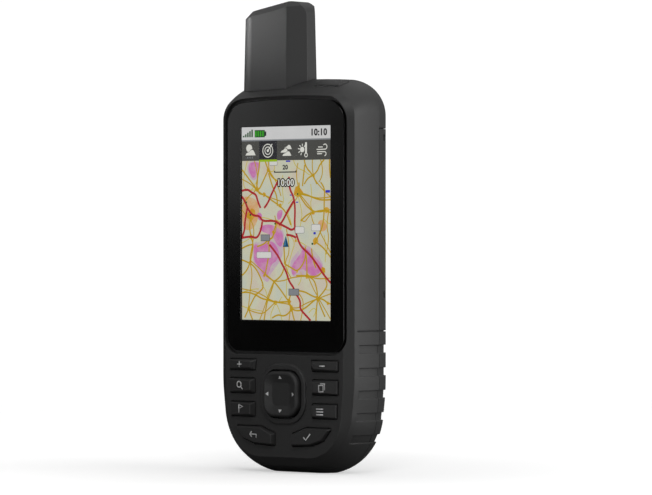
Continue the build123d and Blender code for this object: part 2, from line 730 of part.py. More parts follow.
with BuildPart() as battery_door:
    add(rear_outer & block(-FAR, FAR, SEAM_Y + DOOR_GAP, FAR, 0, DOOR_TOP))
    add(rear_skin(DOOR_WALL), mode=Mode.SUBTRACT)
    add(rod(6.5, 9.5, 6.0, 0, LATCH_Z))
    add(rod(5.0, 12.0, LATCH_SHAFT_RADIUS + 0.05, 0, LATCH_Z), mode=Mode.SUBTRACT)
    add(rod(6.0, 6.5 + 2 * SEAL_RADIUS + 0.1, 4.95, 0, LATCH_Z), mode=Mode.SUBTRACT)
    for z in SPINE_SCREW_Z:
        add(rod(5.0, 12.0, SCREW_CLEARANCE, 0, z), mode=Mode.SUBTRACT)
    # snap windows near the seam on each flank
    for x in (-HALF_WIDTH, HALF_WIDTH):
        for z in SNAP_HEIGHTS:
            with Locations((x, SNAP_Y, z)):
                Box(3.2, 1.3, 2.3, mode=Mode.SUBTRACT)
    add(grip_bands.part, mode=Mode.SUBTRACT)
save(battery_door.part, "battery_door")

with BuildPart() as mounting_spine:
    with BuildSketch(Plane.XY.offset(SPINE_BOTTOM)):
        with BuildLine():
            Polyline(
                (-5.5, DOOR_BACK_Y + 0.02),
                (5.5, DOOR_BACK_Y + 0.02),
                (5.5, 14.0),
                (8.5, 15.2),
                (8.5, 16.3),
                (7.3, REAR_Y),
                (-7.3, REAR_Y),
                (-8.5, 16.3),
                (-8.5, 15.2),
                (-5.5, 14.0),
                close=True,
            )
        make_face()
    extrude(amount=SPINE_TOP - SPINE_BOTTOM)
    # lead-in slope at the lower end and a catch notch
    with BuildSketch(Plane.YZ.offset(-20)):
        with BuildLine():
            Polyline((18.0, 76.0), (18.0, 83.0), (14.4, 78.0), (14.4, 76.0), close=True)
        make_face()
    extrude(amount=40.0, mode=Mode.SUBTRACT)
    with Locations((0, REAR_Y, 96.0)):
        Box(9.0, 2.6, 3.2, mode=Mode.SUBTRACT)
    for z in SPINE_SCREW_Z:
        add(rod(10.0, 15.0, SCREW_HOLE, 0, z), mode=Mode.SUBTRACT)
save(mounting_spine.part, "mounting_spine")

with BuildPart() as spine_screws:
    for z in SPINE_SCREW_Z:
        add(rod(7.6, 8.85, 1.8, 0, z))
        add(rod(8.85, 14.4, SCREW_RADIUS, 0, z))
    for z in SPINE_SCREW_Z:
        add(block(-1.0, 1.0, 7.0, 8.2, z - 0.25, z + 0.25), mode=Mode.SUBTRACT)
save(spine_screws.part, "spine_screws")

PIN_Y = 15.0
PIN_RADIUS = 0.95
PIN_Z = LATCH_Z + 3.5
LUG_HALF_WIDTH = 4.6
KNOB_RADIUS = 8.2
KNOB_BACK_Y = 12.6
RING_HALF_WIDTH = 7.9
RING_WIRE = 1.15
RING_LEG = 8.0  # straight stretch below each eye
EYE_RADIUS = 2.1
EYE_WIDTH = 2.6

with BuildPart() as latch_shaft:
    add(rod(DOOR_BACK_Y + 0.3, KNOB_BACK_Y, KNOB_RADIUS, 0, LATCH_Z))
    fillet(latch_shaft.edges().sort_by(Axis.Y)[-1], 0.6)
    add(rod(2.6, DOOR_BACK_Y + 0.4, LATCH_SHAFT_RADIUS, 0, LATCH_Z))
    with BuildSketch(Plane.YZ.offset(-LUG_HALF_WIDTH)):
        with BuildLine():
            Polyline(
                (12.0, PIN_Z - 3.0),
                (12.0, PIN_Z + 3.6),
                (16.0, PIN_Z + 2.2),
                (17.2, PIN_Z + 0.9),
                (17.2, PIN_Z - 0.9),
                (16.0, PIN_Z - 2.2),
                close=True,
            )
        make_face()
    extrude(amount=2 * LUG_HALF_WIDTH)
    with Locations((0, PIN_Y, PIN_Z)):
        Cylinder(PIN_RADIUS, 40.0, rotation=(0, 90, 0), mode=Mode.SUBTRACT)
    # flats for the cam
    add(block(-5, 5, 2.0, 4.8, LATCH_Z + 2.6, LATCH_Z + 9), mode=Mode.SUBTRACT)
    add(block(-5, 5, 2.0, 4.8, LATCH_Z - 9, LATCH_Z - 2.6), mode=Mode.SUBTRACT)
save(latch_shaft.part, "latch_shaft")

with BuildPart() as latch_cam:
    with BuildSketch(at(2.8)):
        with Locations((0, LATCH_Z)):
            SlotOverall(12.4, 7.4)
    extrude(amount=-2.0)
    add(
        rod(0.0, 6.0, LATCH_SHAFT_RADIUS, 0, LATCH_Z)
        & block(-9, 9, 0, 9, LATCH_Z - 2.6, LATCH_Z + 2.6),
        mode=Mode.SUBTRACT,
    )
save(latch_cam.part, "latch_cam")

with BuildPart() as latch_seal:
    with BuildSketch(Plane.XY.offset(LATCH_Z)):
        with Locations((LATCH_SHAFT_RADIUS + 0.06 + SEAL_RADIUS, 6.5 + SEAL_RADIUS + 0.05)):
            Circle(SEAL_RADIUS)
    revolve(axis=Axis((0, 0, LATCH_Z), (0, 1, 0)))
save(latch_seal.part, "latch_seal")

with BuildPart() as d_ring:
    bow_z = PIN_Z - RING_LEG
    left_leg = (-RING_HALF_WIDTH, PIN_Y, bow_z)
    right_leg = (RING_HALF_WIDTH, PIN_Y, bow_z)
    with BuildLine() as wire:
        Line((-RING_HALF_WIDTH, PIN_Y, PIN_Z), left_leg)
        ThreePointArc(left_leg, (0, PIN_Y, bow_z - RING_HALF_WIDTH), right_leg)
        Line(right_leg, (RING_HALF_WIDTH, PIN_Y, PIN_Z))
    with BuildSketch(Plane(origin=(-RING_HALF_WIDTH, PIN_Y, PIN_Z), z_dir=(0, 0, -1))):
        Circle(RING_WIRE)
    sweep(path=wire.wires()[0])
    # eyes for the pin
    for side in (-1, 1):
        with Locations((side * RING_HALF_WIDTH, PIN_Y, PIN_Z)):
            Cylinder(EYE_RADIUS, EYE_WIDTH, rotation=(0, 90, 0))
    with Locations((0, PIN_Y, PIN_Z)):
        Cylinder(PIN_RADIUS + 0.05, 40.0, rotation=(0, 90, 0), mode=Mode.SUBTRACT)
save(d_ring.part, "d_ring")

with BuildPart() as d_ring_pin:
    with Locations((0, PIN_Y, PIN_Z)):
        Cylinder(PIN_RADIUS, 2 * RING_HALF_WIDTH + EYE_WIDTH, rotation=(0, 90, 0))
save(d_ring_pin.part, "d_ring_pin")

# ---------------------------------------------------------------- antenna
ANTENNA_LEFT = -25.6
ANTENNA_RIGHT = 2.7
ANTENNA_FRONT = -10.7
ANTENNA_REAR = 5.2
ANTENNA_CHAMFER = 5.4
ANTENNA_REAR_CHAMFER = 5.0
ANTENNA_ROUND = 7.0
ANTENNA_BASE = 129.0
ANTENNA_LIMIT = OVERALL_HEIGHT + 4.0  # height of the untrimmed blank
ANTENNA_DRAFT = 0.9  # how far each side of the blank draws in by its top
ANTENNA_WALL = 2.0
ANTENNA_HOLLOW_TOP = 156.0
TOP_SLOPE = 10.0  # the top falls away to the left
TOP_CORNER = 5.2  # round upper right corner
TOP_EDGE = 2.2


def antenna_outline(z, shrink=0.0):
    """Plan outline: chamfered towards the right, rounded at the front left."""
    bow = ANTENNA_ROUND * (1 - math.sqrt(0.5))
    with BuildSketch(Plane.XY.offset(z)) as shape:
        with BuildLine():
            Polyline(
                (ANTENNA_LEFT + ANTENNA_ROUND, ANTENNA_FRONT),
                (ANTENNA_RIGHT - ANTENNA_CHAMFER, ANTENNA_FRONT),
                (ANTENNA_RIGHT, ANTENNA_FRONT + ANTENNA_CHAMFER),
                (ANTENNA_RIGHT, ANTENNA_REAR - ANTENNA_CHAMFER),
                (ANTENNA_RIGHT - ANTENNA_CHAMFER, ANTENNA_REAR),
                (ANTENNA_LEFT + ANTENNA_REAR_CHAMFER, ANTENNA_REAR),
                (ANTENNA_LEFT, ANTENNA_REAR - ANTENNA_REAR_CHAMFER),
                (ANTENNA_LEFT, ANTENNA_FRONT + ANTENNA_ROUND),
            )
            ThreePointArc(
                (ANTENNA_LEFT, ANTENNA_FRONT + ANTENNA_ROUND),
                (ANTENNA_LEFT + bow, ANTENNA_FRONT + bow),
                (ANTENNA_LEFT + ANTENNA_ROUND, ANTENNA_FRONT),
            )
        make_face()
        if shrink:
            offset(amount=-shrink, mode=Mode.REPLACE)
    return shape.sketch


with BuildPart() as antenna_cap:
    loft([antenna_outline(ANTENNA_BASE), antenna_outline(ANTENNA_LIMIT, ANTENNA_DRAFT)], ruled=True)
    # the round corner at the upper right: its crown is the tip of the antenna
    slope = math.radians(TOP_SLOPE)
    corner_z = OVERALL_HEIGHT - TOP_CORNER
    drawn_in = ANTENNA_DRAFT * (corner_z - ANTENNA_BASE) / (ANTENNA_LIMIT - ANTENNA_BASE)
    corner_x = ANTENNA_RIGHT - drawn_in - TOP_CORNER
    crown_start = (
        corner_x - TOP_CORNER * math.sin(slope),
        corner_z + TOP_CORNER * math.cos(slope),
    )
    # top slopes down to the left
    slope_plane = Plane(
        origin=(crown_start[0], 0, crown_start[1]),
        x_dir=(0, 1, 0),
        z_dir=(-math.sin(slope), 0, math.cos(slope)),
    )
    with BuildSketch(slope_plane):
        Rectangle(120, 120)
    extrude(amount=30.0, mode=Mode.SUBTRACT)
    top = antenna_cap.faces().sort_by(Axis.Z)[-1]
    chamfer(top.edges(), TOP_EDGE)
    with BuildSketch(at(FAR)):
        with BuildLine():
            Polyline(
                (corner_x, corner_z),
                (corner_x - 20 * math.sin(slope), corner_z + 20 * math.cos(slope)),
                (corner_x + 20, corner_z + 20),
                (corner_x + 20, corner_z),
                close=True,
            )
        make_face()
        with Locations((corner_x, corner_z)):
            Circle(TOP_CORNER, mode=Mode.SUBTRACT)
    extrude(amount=2 * FAR, mode=Mode.SUBTRACT)
    # hollow for the antenna element
    hollow = antenna_outline(ANTENNA_BASE - 9, ANTENNA_WALL)
    extrude(hollow, amount=ANTENNA_HOLLOW_TOP - ANTENNA_BASE + 9, mode=Mode.SUBTRACT)
    add(front_outer, mode=Mode.SUBTRACT)
    add(rear_outer, mode=Mode.SUBTRACT)
    add(block(-FAR, FAR, -FAR, FAR, 100, 131.2) & front_skin(-0.6), mode=Mode.SUBTRACT)
save(antenna_cap.part, "antenna_cap")

CORE_RADIUS = 4.0
CORE_X = FEED_X
CORE_Y = FEED_Y + 2.0
CORE_BOTTOM = 137.6
CORE_HEIGHT = 16.0
STRIP_THICKNESS = 0.25
STRIP_COUNT = 4

with BuildPart() as antenna_core:
    with Locations((CORE_X, CORE_Y, CORE_BOTTOM + CORE_HEIGHT / 2)):
        Cylinder(CORE_RADIUS, CORE_HEIGHT)
    with Locations((CORE_X, CORE_Y, CORE_BOTTOM - 0.6)):
        Cylinder(CORE_RADIUS + 0.8, 1.2)
    with Locations((FEED_X, FEED_Y, CORE_BOTTOM)):
        Cylinder(0.75, 6.0, mode=Mode.SUBTRACT)
save(antenna_core.part, "antenna_core")

# four plated strips, each wound half a turn up the core
with BuildPart() as antenna_helix:
    strip_bottom = CORE_BOTTOM + 1.5
    strip_height = CORE_HEIGHT - 2.5
    with BuildLine() as winding:
        Helix(
            pitch=2 * strip_height,
            height=strip_height,
            radius=CORE_RADIUS + STRIP_THICKNESS / 2 + 0.06,
            center=(CORE_X, CORE_Y, strip_bottom),
        )
    with BuildSketch(Plane(origin=winding.line @ 0, x_dir=(1, 0, 0), z_dir=winding.line % 0)):
        Rectangle(STRIP_THICKNESS, 1.3)
    sweep(is_frenet=True)
strips = [
    antenna_helix.part.rotate(Axis((CORE_X, CORE_Y, 0), (0, 0, 1)), 90 * i) for i in range(STRIP_COUNT)
]
save(Compound(children=strips), "antenna_helix")

with BuildPart() as antenna_feed:
    with Locations((FEED_X, FEED_Y, FEED_Z)):
        Cylinder(0.7, 14.0)
save(antenna_feed.part, "antenna_feed")
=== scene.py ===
# %% [markdown]
# # A handheld satellite navigator
# This lesson dresses a finished mechanical model of a handheld navigator. The frame holds every solid part
# at its real size, in metres: the two housings, the keys, the lens and the latch. Those parts keep their
# places and shapes. What they lack is skin: moulded plastic, printed key symbols, glass, and a lit map on
# the display.

# %% Open the frame
import json
import math
import random

import bmesh
import bpy
from mathutils import Matrix, Vector


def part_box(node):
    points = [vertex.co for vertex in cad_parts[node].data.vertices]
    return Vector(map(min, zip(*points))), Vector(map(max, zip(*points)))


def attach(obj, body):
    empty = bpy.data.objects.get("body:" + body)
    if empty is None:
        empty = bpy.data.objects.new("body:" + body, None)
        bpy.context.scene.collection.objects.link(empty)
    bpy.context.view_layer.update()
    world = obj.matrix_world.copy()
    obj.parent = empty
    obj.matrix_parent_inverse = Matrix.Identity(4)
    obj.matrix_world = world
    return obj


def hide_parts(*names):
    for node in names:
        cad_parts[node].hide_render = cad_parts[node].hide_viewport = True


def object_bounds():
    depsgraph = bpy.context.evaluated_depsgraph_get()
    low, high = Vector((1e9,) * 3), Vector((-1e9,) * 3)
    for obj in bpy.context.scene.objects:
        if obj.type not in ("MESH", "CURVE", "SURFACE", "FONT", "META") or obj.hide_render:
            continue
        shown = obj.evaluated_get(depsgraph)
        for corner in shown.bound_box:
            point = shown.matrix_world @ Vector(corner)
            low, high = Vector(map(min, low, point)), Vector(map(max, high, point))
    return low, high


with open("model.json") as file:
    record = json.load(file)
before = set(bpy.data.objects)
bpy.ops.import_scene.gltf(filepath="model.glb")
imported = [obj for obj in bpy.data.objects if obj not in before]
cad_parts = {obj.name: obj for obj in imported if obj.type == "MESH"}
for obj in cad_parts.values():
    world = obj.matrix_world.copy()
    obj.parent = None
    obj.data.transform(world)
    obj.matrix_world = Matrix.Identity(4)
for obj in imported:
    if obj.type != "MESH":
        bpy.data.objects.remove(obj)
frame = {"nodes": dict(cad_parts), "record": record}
cad_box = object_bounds()
nodes = frame["nodes"]
MM = 0.001
scene = bpy.context.scene

# %% [markdown]
# ## The camera
# A small product is best shown with a long lens from more than a metre away, because its edges then stay
# parallel. The camera stands to the right of the display side and looks exactly level, at about the middle
# of the body.

# %% Camera
VIEW_YAW = math.radians(39.227)
VIEW_DISTANCE = 1.3202
SIDE_STEP = 0.0136126
EYE_HEIGHT = 0.0776441
DISPLAY_DEPTH = -0.0136
FOCAL_LENGTH = 211.54

right_way = Vector((math.cos(VIEW_YAW), math.sin(VIEW_YAW), 0))
into_scene = Vector((-math.sin(VIEW_YAW), math.cos(VIEW_YAW), 0))
eye = right_way * SIDE_STEP - into_scene * VIEW_DISTANCE + Vector((0, DISPLAY_DEPTH, EYE_HEIGHT))

camera_data = bpy.data.cameras.new("camera")
camera_data.lens = FOCAL_LENGTH
camera_data.sensor_width = 36
camera_data.clip_start = 0.05
camera = bpy.data.objects.new("camera", camera_data)
camera.location = eye
camera.rotation_euler = (math.radians(90), 0, VIEW_YAW)
scene.collection.objects.link(camera)
scene.camera = camera
print("camera stands", round(eye.length, 3), "m from the foot of the unit")

# %% [markdown]
# ## Shader helpers
# A material is a small graph. These helpers add a node, join two sockets, and start a Principled shader, so
# that each finish below reads as a short recipe. All patterns are measured in object coordinates, which are
# metres here.


# %% Node helpers
def add_node(tree, kind, **settings):
    """Adds one node and sets its properties, or its input sockets where the name is one."""
    node = tree.nodes.new(kind)
    for name, value in settings.items():
        socket = name.replace("_", " ")
        if hasattr(node, name):
            setattr(node, name, value)
        else:
            node.inputs[socket].default_value = value
    return node


def join(tree, source, target):
    """Joins an output socket to an input socket."""
    tree.links.new(source, target)


def new_finish(name, **sockets):
    """A material with one Principled shader, whose named sockets get constant values."""
    material = bpy.data.materials.new(name)
    material.use_nodes = True
    tree = material.node_tree
    tree.nodes.clear()
    output = tree.nodes.new("ShaderNodeOutputMaterial")
    shader = tree.nodes.new("ShaderNodeBsdfPrincipled")
    for socket, value in sockets.items():
        shader.inputs[socket.replace("_", " ")].default_value = value
    join(tree, shader.outputs["BSDF"], output.inputs["Surface"])
    return material, tree, shader


def grey(level):
    """A neutral colour."""
    return (level, level, level, 1)

def object_noise(tree, scale, **settings):
    """Noise that is fixed to the piece, because it reads object coordinates."""
    noise = add_node(tree, "ShaderNodeTexNoise", Scale=scale, **settings)
    place = add_node(tree, "ShaderNodeTexCoord")
    join(tree, place.outputs["Object"], noise.inputs["Vector"])
    return noise

def set_stops(ramp, *stops):
    """Gives a colour ramp its stops, each a position and a colour."""
    elements = ramp.color_ramp.elements
    for number, (position, colour) in enumerate(stops):
        stop = elements[number] if number < 2 else elements.new(position)
        stop.position = position
        stop.color = colour


def start_group(name, inputs, outputs):
    """A shader node group with float inputs and the named outputs."""
    tree = bpy.data.node_groups.new(name, "ShaderNodeTree")
    for socket, value in inputs.items():
        tree.interface.new_socket(socket, in_out="INPUT", socket_type="NodeSocketFloat").default_value = value
    for socket, kind in outputs.items():
        tree.interface.new_socket(socket, in_out="OUTPUT", socket_type=kind)
    return tree, tree.nodes.new("NodeGroupInput"), tree.nodes.new("NodeGroupOutput")


def use_group(tree, group, **values):
    """Places a group in a material with its own values."""
    node = tree.nodes.new("ShaderNodeGroup")
    node.node_tree = group
    for name, value in values.items():
        node.inputs[name.replace("_", " ")].default_value = value
    return node


print("helpers ready")

# %% [markdown]
# ## Shared effects
# Three effects turn up on most of the plastic. Spark texture is the fine pebbling that a mould leaves on a
# housing. Edge wear lightens and polishes the corners that hands and pockets rub. Handling is a slow
# unevenness in the gloss.

# %% Spark texture group
spark, inside, outside = start_group(
    "spark texture", {"Scale": 1.0}, {"Height": "NodeSocketFloat", "Tone": "NodeSocketFloat"}
)
place = add_node(spark, "ShaderNodeTexCoord")
fine = add_node(spark, "ShaderNodeTexNoise", Detail=2.0, Roughness=0.6)
pebble = add_node(spark, "ShaderNodeTexVoronoi")
fine_scale = add_node(spark, "ShaderNodeMath", operation="MULTIPLY")
fine_scale.inputs[1].default_value = 5200
pebble_scale = add_node(spark, "ShaderNodeMath", operation="MULTIPLY")
pebble_scale.inputs[1].default_value = 3300
blend = add_node(spark, "ShaderNodeMath", operation="MULTIPLY_ADD")
blend.inputs[1].default_value = 0.6
for scale_node, texture in ((fine_scale, fine), (pebble_scale, pebble)):
    join(spark, inside.outputs["Scale"], scale_node.inputs[0])
    join(spark, scale_node.outputs[0], texture.inputs["Scale"])
    join(spark, place.outputs["Object"], texture.inputs["Vector"])
join(spark, pebble.outputs["Distance"], blend.inputs[0])
join(spark, fine.outputs["Fac"], blend.inputs[2])
join(spark, blend.outputs[0], outside.inputs["Height"])
join(spark, fine.outputs["Fac"], outside.inputs["Tone"])
print("group:", spark.name)

# %% Edge wear group
wear, inside, outside = start_group(
    "edge wear", {"Radius": 0.0004, "Contrast": 6.0}, {"Mask": "NodeSocketFloat", "Normal": "NodeSocketVector"}
)
rounded = add_node(wear, "ShaderNodeBevel", samples=4)
geometry = add_node(wear, "ShaderNodeNewGeometry")
same_way = add_node(wear, "ShaderNodeVectorMath", operation="DOT_PRODUCT")
turned = add_node(wear, "ShaderNodeMath", operation="SUBTRACT")
turned.inputs[0].default_value = 1.0
stronger = add_node(wear, "ShaderNodeMath", operation="MULTIPLY", use_clamp=True)
patchy = object_noise(wear, 420.0, Detail=3.0)
broken = add_node(wear, "ShaderNodeMath", operation="MULTIPLY", use_clamp=True)
join(wear, inside.outputs["Radius"], rounded.inputs["Radius"])
join(wear, rounded.outputs["Normal"], same_way.inputs[0])
join(wear, geometry.outputs["Normal"], same_way.inputs[1])
join(wear, same_way.outputs["Value"], turned.inputs[1])
join(wear, turned.outputs[0], stronger.inputs[0])
join(wear, inside.outputs["Contrast"], stronger.inputs[1])
join(wear, stronger.outputs[0], broken.inputs[0])
join(wear, patchy.outputs["Fac"], broken.inputs[1])
join(wear, broken.outputs[0], outside.inputs["Mask"])
join(wear, rounded.outputs["Normal"], outside.inputs["Normal"])
print("group:", wear.name)

# %% Handling group
handling, inside, outside = start_group(
    "handling", {"Lowest": 0.4, "Highest": 0.6}, {"Roughness": "NodeSocketFloat", "Tone": "NodeSocketFloat"}
)
clouds = object_noise(handling, 55.0, Detail=4.0, Roughness=0.55, Distortion=0.6)
spread = add_node(handling, "ShaderNodeMapRange")
join(handling, clouds.outputs["Fac"], spread.inputs["Value"])
join(handling, inside.outputs["Lowest"], spread.inputs["To Min"])
join(handling, inside.outputs["Highest"], spread.inputs["To Max"])
join(handling, spread.outputs["Result"], outside.inputs["Roughness"])
join(handling, clouds.outputs["Fac"], outside.inputs["Tone"])


def add_gloss(tree, shader, lowest, highest):
    """Lets handling vary the gloss between two roughnesses."""
    hands = use_group(tree, handling, Lowest=lowest, Highest=highest)
    join(tree, hands.outputs["Roughness"], shader.inputs["Roughness"])

print("group:", handling.name)


# %% [markdown]
# ## Moulded plastic and rubber
# The housings are dark charcoal polycarbonate with a fine spark texture, and the keys are silicone, which
# is a touch softer in its gloss. One recipe serves both: base colour, gloss range, texture depth, and how
# far the edges are worn.


# %% Moulded finish
def moulded(name, base, worn, rough, texture_depth, texture_scale=1.0, edge=0.0003):
    """Moulded plastic or rubber: base and worn colours, two roughnesses, texture depth in metres."""
    material, tree, shader = new_finish(name, Specular_IOR_Level=0.5)
    texture = use_group(tree, spark, Scale=texture_scale)
    edges = use_group(tree, wear, Radius=edge, Contrast=5.0)
    speck = add_node(tree, "ShaderNodeMix", data_type="RGBA", blend_type="MULTIPLY", Factor=0.35)
    speck.inputs[6].default_value = base
    tint = add_node(tree, "ShaderNodeValToRGB")
    set_stops(tint, (0, grey(0.72)), (1, grey(1.25)))
    join(tree, texture.outputs["Tone"], tint.inputs["Fac"])
    join(tree, tint.outputs["Color"], speck.inputs[7])
    rubbed = add_node(tree, "ShaderNodeMix", data_type="RGBA")
    rubbed.inputs[7].default_value = worn
    join(tree, edges.outputs["Mask"], rubbed.inputs["Factor"])
    join(tree, speck.outputs[2], rubbed.inputs[6])
    join(tree, rubbed.outputs[2], shader.inputs["Base Color"])
    add_gloss(tree, shader, *rough)
    bump = add_node(tree, "ShaderNodeBump", Strength=1.0, Distance=texture_depth)
    join(tree, texture.outputs["Height"], bump.inputs["Height"])
    join(tree, edges.outputs["Normal"], bump.inputs["Normal"])
    join(tree, bump.outputs["Normal"], shader.inputs["Normal"])
    return material


finishes = {
    "body_plastic": moulded(
        "charcoal polycarbonate", grey(0.03), grey(0.06), (0.46, 0.6), 0.000012, 1.0, 0.0004
    ),
    "key_rubber": moulded("key silicone", grey(0.026), grey(0.05), (0.5, 0.62), 0.000006, 1.4, 0.0002),
    "soft_rubber": moulded("soft black rubber", grey(0.02), grey(0.04), (0.6, 0.75), 0.00001, 0.8),
    "hard_plastic": moulded("hard black nylon", grey(0.028), grey(0.07), (0.38, 0.52), 0.00001, 0.9),
    "white_plastic": moulded("white moulding", grey(0.75), grey(0.85), (0.35, 0.5), 0.000006, 0.8),
    "adhesive": moulded("black foam tape", grey(0.012), grey(0.02), (0.8, 0.95), 0.00002, 0.6),
    "chip_resin": moulded("chip resin", grey(0.025), grey(0.06), (0.5, 0.6), 0.000008, 1.2),
}
print("plastics:", ", ".join(finishes))


# %% [markdown]
# ## Metals, films and the board
# Most of these pieces are inside, and show only when the cell door is off. Each still gets its own grain:
# drawn scratches on the sheet metal, plating on the springs, a printed jacket on the cells, a fine net on
# the circuit board.


# %% Metal finish
def metal(name, colour, rough, stretch=(1, 1, 12)):
    """Bare metal with fine scratches drawn along one axis."""
    material, tree, shader = new_finish(name, Metallic=1.0, Base_Color=colour)
    place = add_node(tree, "ShaderNodeTexCoord")
    draw = add_node(tree, "ShaderNodeMapping", Scale=stretch)
    lines = add_node(tree, "ShaderNodeTexNoise", Scale=700.0, Detail=3.0)
    gloss = add_node(tree, "ShaderNodeMapRange", To_Min=rough[0], To_Max=rough[1])
    edges = use_group(tree, wear, Radius=0.0002, Contrast=4.0)
    bump = add_node(tree, "ShaderNodeBump", Strength=0.5, Distance=0.000008)
    join(tree, place.outputs["Object"], draw.inputs["Vector"])
    join(tree, draw.outputs["Vector"], lines.inputs["Vector"])
    join(tree, lines.outputs["Fac"], gloss.inputs["Value"])
    join(tree, gloss.outputs["Result"], shader.inputs["Roughness"])
    join(tree, lines.outputs["Fac"], bump.inputs["Height"])
    join(tree, edges.outputs["Normal"], bump.inputs["Normal"])
    join(tree, bump.outputs["Normal"], shader.inputs["Normal"])
    return material


finishes["tinned_steel"] = metal("tinned sheet", (0.62, 0.62, 0.6, 1), (0.25, 0.42))
finishes["spring_steel"] = metal("nickel wire", (0.72, 0.7, 0.66, 1), (0.16, 0.28), (1, 1, 1))
finishes["screw_steel"] = metal("machined steel", (0.5, 0.5, 0.5, 1), (0.25, 0.4), (8, 1, 8))
finishes["ring_metal"] = metal("satin steel ring", (0.3, 0.3, 0.31, 1), (0.3, 0.45), (1, 1, 1))
finishes["copper"] = metal("copper plating", (0.78, 0.42, 0.25, 1), (0.25, 0.4))
print("metals ready")


# %% Banded and spotted finishes
def two_tone(name, first, second, scale, edge, rough, kind="noise"):
    """Two colours, parted by noise or by the edges of small cells."""
    material, tree, shader = new_finish(name, Roughness=rough)
    place = add_node(tree, "ShaderNodeTexCoord")
    if kind == "noise":
        pattern = add_node(tree, "ShaderNodeTexNoise", Scale=scale, Detail=2.0)
        value = pattern.outputs["Fac"]
    else:
        pattern = add_node(tree, "ShaderNodeTexVoronoi", feature="DISTANCE_TO_EDGE", Scale=scale)
        value = pattern.outputs["Distance"]
    ramp = add_node(tree, "ShaderNodeValToRGB")
    set_stops(ramp, (edge - 0.03, first), (edge + 0.03, second))
    join(tree, place.outputs["Object"], pattern.inputs["Vector"])
    join(tree, value, ramp.inputs["Fac"])
    join(tree, ramp.outputs["Color"], shader.inputs["Base Color"])
    return material


finishes["circuit_board"] = two_tone(
    "solder resist", (0.02, 0.09, 0.035, 1), (0.012, 0.05, 0.022, 1), 420.0, 0.08, 0.35, "cells"
)
finishes["film"] = two_tone("thin film", (0.55, 0.55, 0.57, 1), (0.62, 0.62, 0.64, 1), 900.0, 0.5, 0.3)
finishes["ceramic"] = two_tone("fired ceramic", (0.8, 0.78, 0.72, 1), (0.86, 0.84, 0.79, 1), 600.0, 0.5, 0.45)
finishes["led_resin"] = two_tone("phosphor", (0.85, 0.78, 0.3, 1), (0.9, 0.84, 0.42, 1), 500.0, 0.5, 0.35)

CELL_FOOT = 0.049
CELL_TOP = 0.103
cell_jacket, tree, shader = new_finish("printed cell jacket", Roughness=0.28, Coat_Weight=0.4)
place = add_node(tree, "ShaderNodeTexCoord")
split = add_node(tree, "ShaderNodeSeparateXYZ")
bands = add_node(tree, "ShaderNodeMapRange", From_Min=CELL_FOOT, From_Max=CELL_TOP)
jacket = add_node(tree, "ShaderNodeValToRGB")
jacket.color_ramp.interpolation = "CONSTANT"
set_stops(jacket, (0, grey(0.5)), (0.1, (0.02, 0.08, 0.2, 1)), (0.74, (0.62, 0.36, 0.12, 1)))
join(tree, place.outputs["Object"], split.inputs["Vector"])
join(tree, split.outputs["Z"], bands.inputs["Value"])
join(tree, bands.outputs["Result"], jacket.inputs["Fac"])
join(tree, jacket.outputs["Color"], shader.inputs["Base Color"])
finishes["cell_jacket"] = cell_jacket
print("inner finishes ready")

# %% [markdown]
# ## The torch lens
# The torch on the back has a small moulded lens. Clear plastic is one shader: full transmission, an index
# of 1.49 and a slightly cloudy surface, so that the lamp behind it shows as a soft yellow square.

# %% Torch lens finish
torch_glass, tree, shader = new_finish(
    "torch lens", Base_Color=grey(0.95), Transmission_Weight=1.0, IOR=1.49
)
add_gloss(tree, shader, 0.05, 0.2)
finishes["clear_plastic"] = torch_glass
print("torch lens ready")

# %% Dress every CAD part
slot_of = {entry["node"]: entry["material_slot"] for entry in frame["record"]["subparts"]}
for name, part in nodes.items():
    finish = finishes.get(slot_of[name], finishes["body_plastic"])
    part.data.materials.clear()
    part.data.materials.append(finish)
print("dressed", len(nodes), "parts")


# %% [markdown]
# ## Flat artwork
# Symbols, digits, roads and the lens are all flat shapes. A flat curve is the easiest way to draw one: it
# fills its own outline, cuts holes, and takes a little thickness. Each drawing is made a mesh and then laid
# on the surface it belongs to. Drawings are in millimetres, x to the right and y up, round the middle of
# that surface.


# %% Drawing helpers
THIN = 0.02

def upright(x, y, z):
    """Placement on a surface that faces the user, from a point in millimetres: drawing y becomes Z."""
    turn = Matrix.Rotation(math.radians(90), 4, "X")
    return Matrix.Translation(Vector((x, y, z)) * MM) @ turn @ Matrix.Scale(MM, 4)

def settle(name, data, placement, body, material):
    """Makes a mesh of a curve or text, lays it in place and lets it ride on its body."""
    drawing = bpy.data.objects.new(name + "_drawing", data)
    scene.collection.objects.link(drawing)
    graph = bpy.context.evaluated_depsgraph_get()
    mesh = bpy.data.meshes.new_from_object(drawing.evaluated_get(graph))
    bpy.data.objects.remove(drawing)
    mesh.transform(placement)
    clean = bmesh.new()
    clean.from_mesh(mesh)
    bmesh.ops.remove_doubles(clean, verts=clean.verts, dist=1e-7)
    bmesh.ops.recalc_face_normals(clean, faces=clean.faces)
    clean.to_mesh(mesh)
    clean.free()
    mesh.materials.clear()
    mesh.materials.append(material)
    piece = bpy.data.objects.new(name, mesh)
    scene.collection.objects.link(piece)
    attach(piece, body)
    return piece


def add_spline(data, points, closed=False, kind="POLY"):
    """Adds one spline to a curve."""
    spline = data.splines.new(kind)
    spline.points.add(len(points) - 1)
    for point, (x, y) in zip(spline.points, points):
        point.co = (x, y, 0, 1)
    spline.use_cyclic_u = closed
    return spline

def filled(outlines, thickness=THIN, rounding=0.0):
    """Filled flat curve; an outline inside another cuts a hole."""
    data = bpy.data.curves.new("filled", "CURVE")
    data.dimensions = "2D"
    data.fill_mode = "BOTH"
    data.extrude = thickness / 2 - rounding
    data.bevel_depth = rounding
    data.bevel_resolution = 3
    data.offset = -rounding
    for outline in outlines:
        add_spline(data, outline, True)
    return data

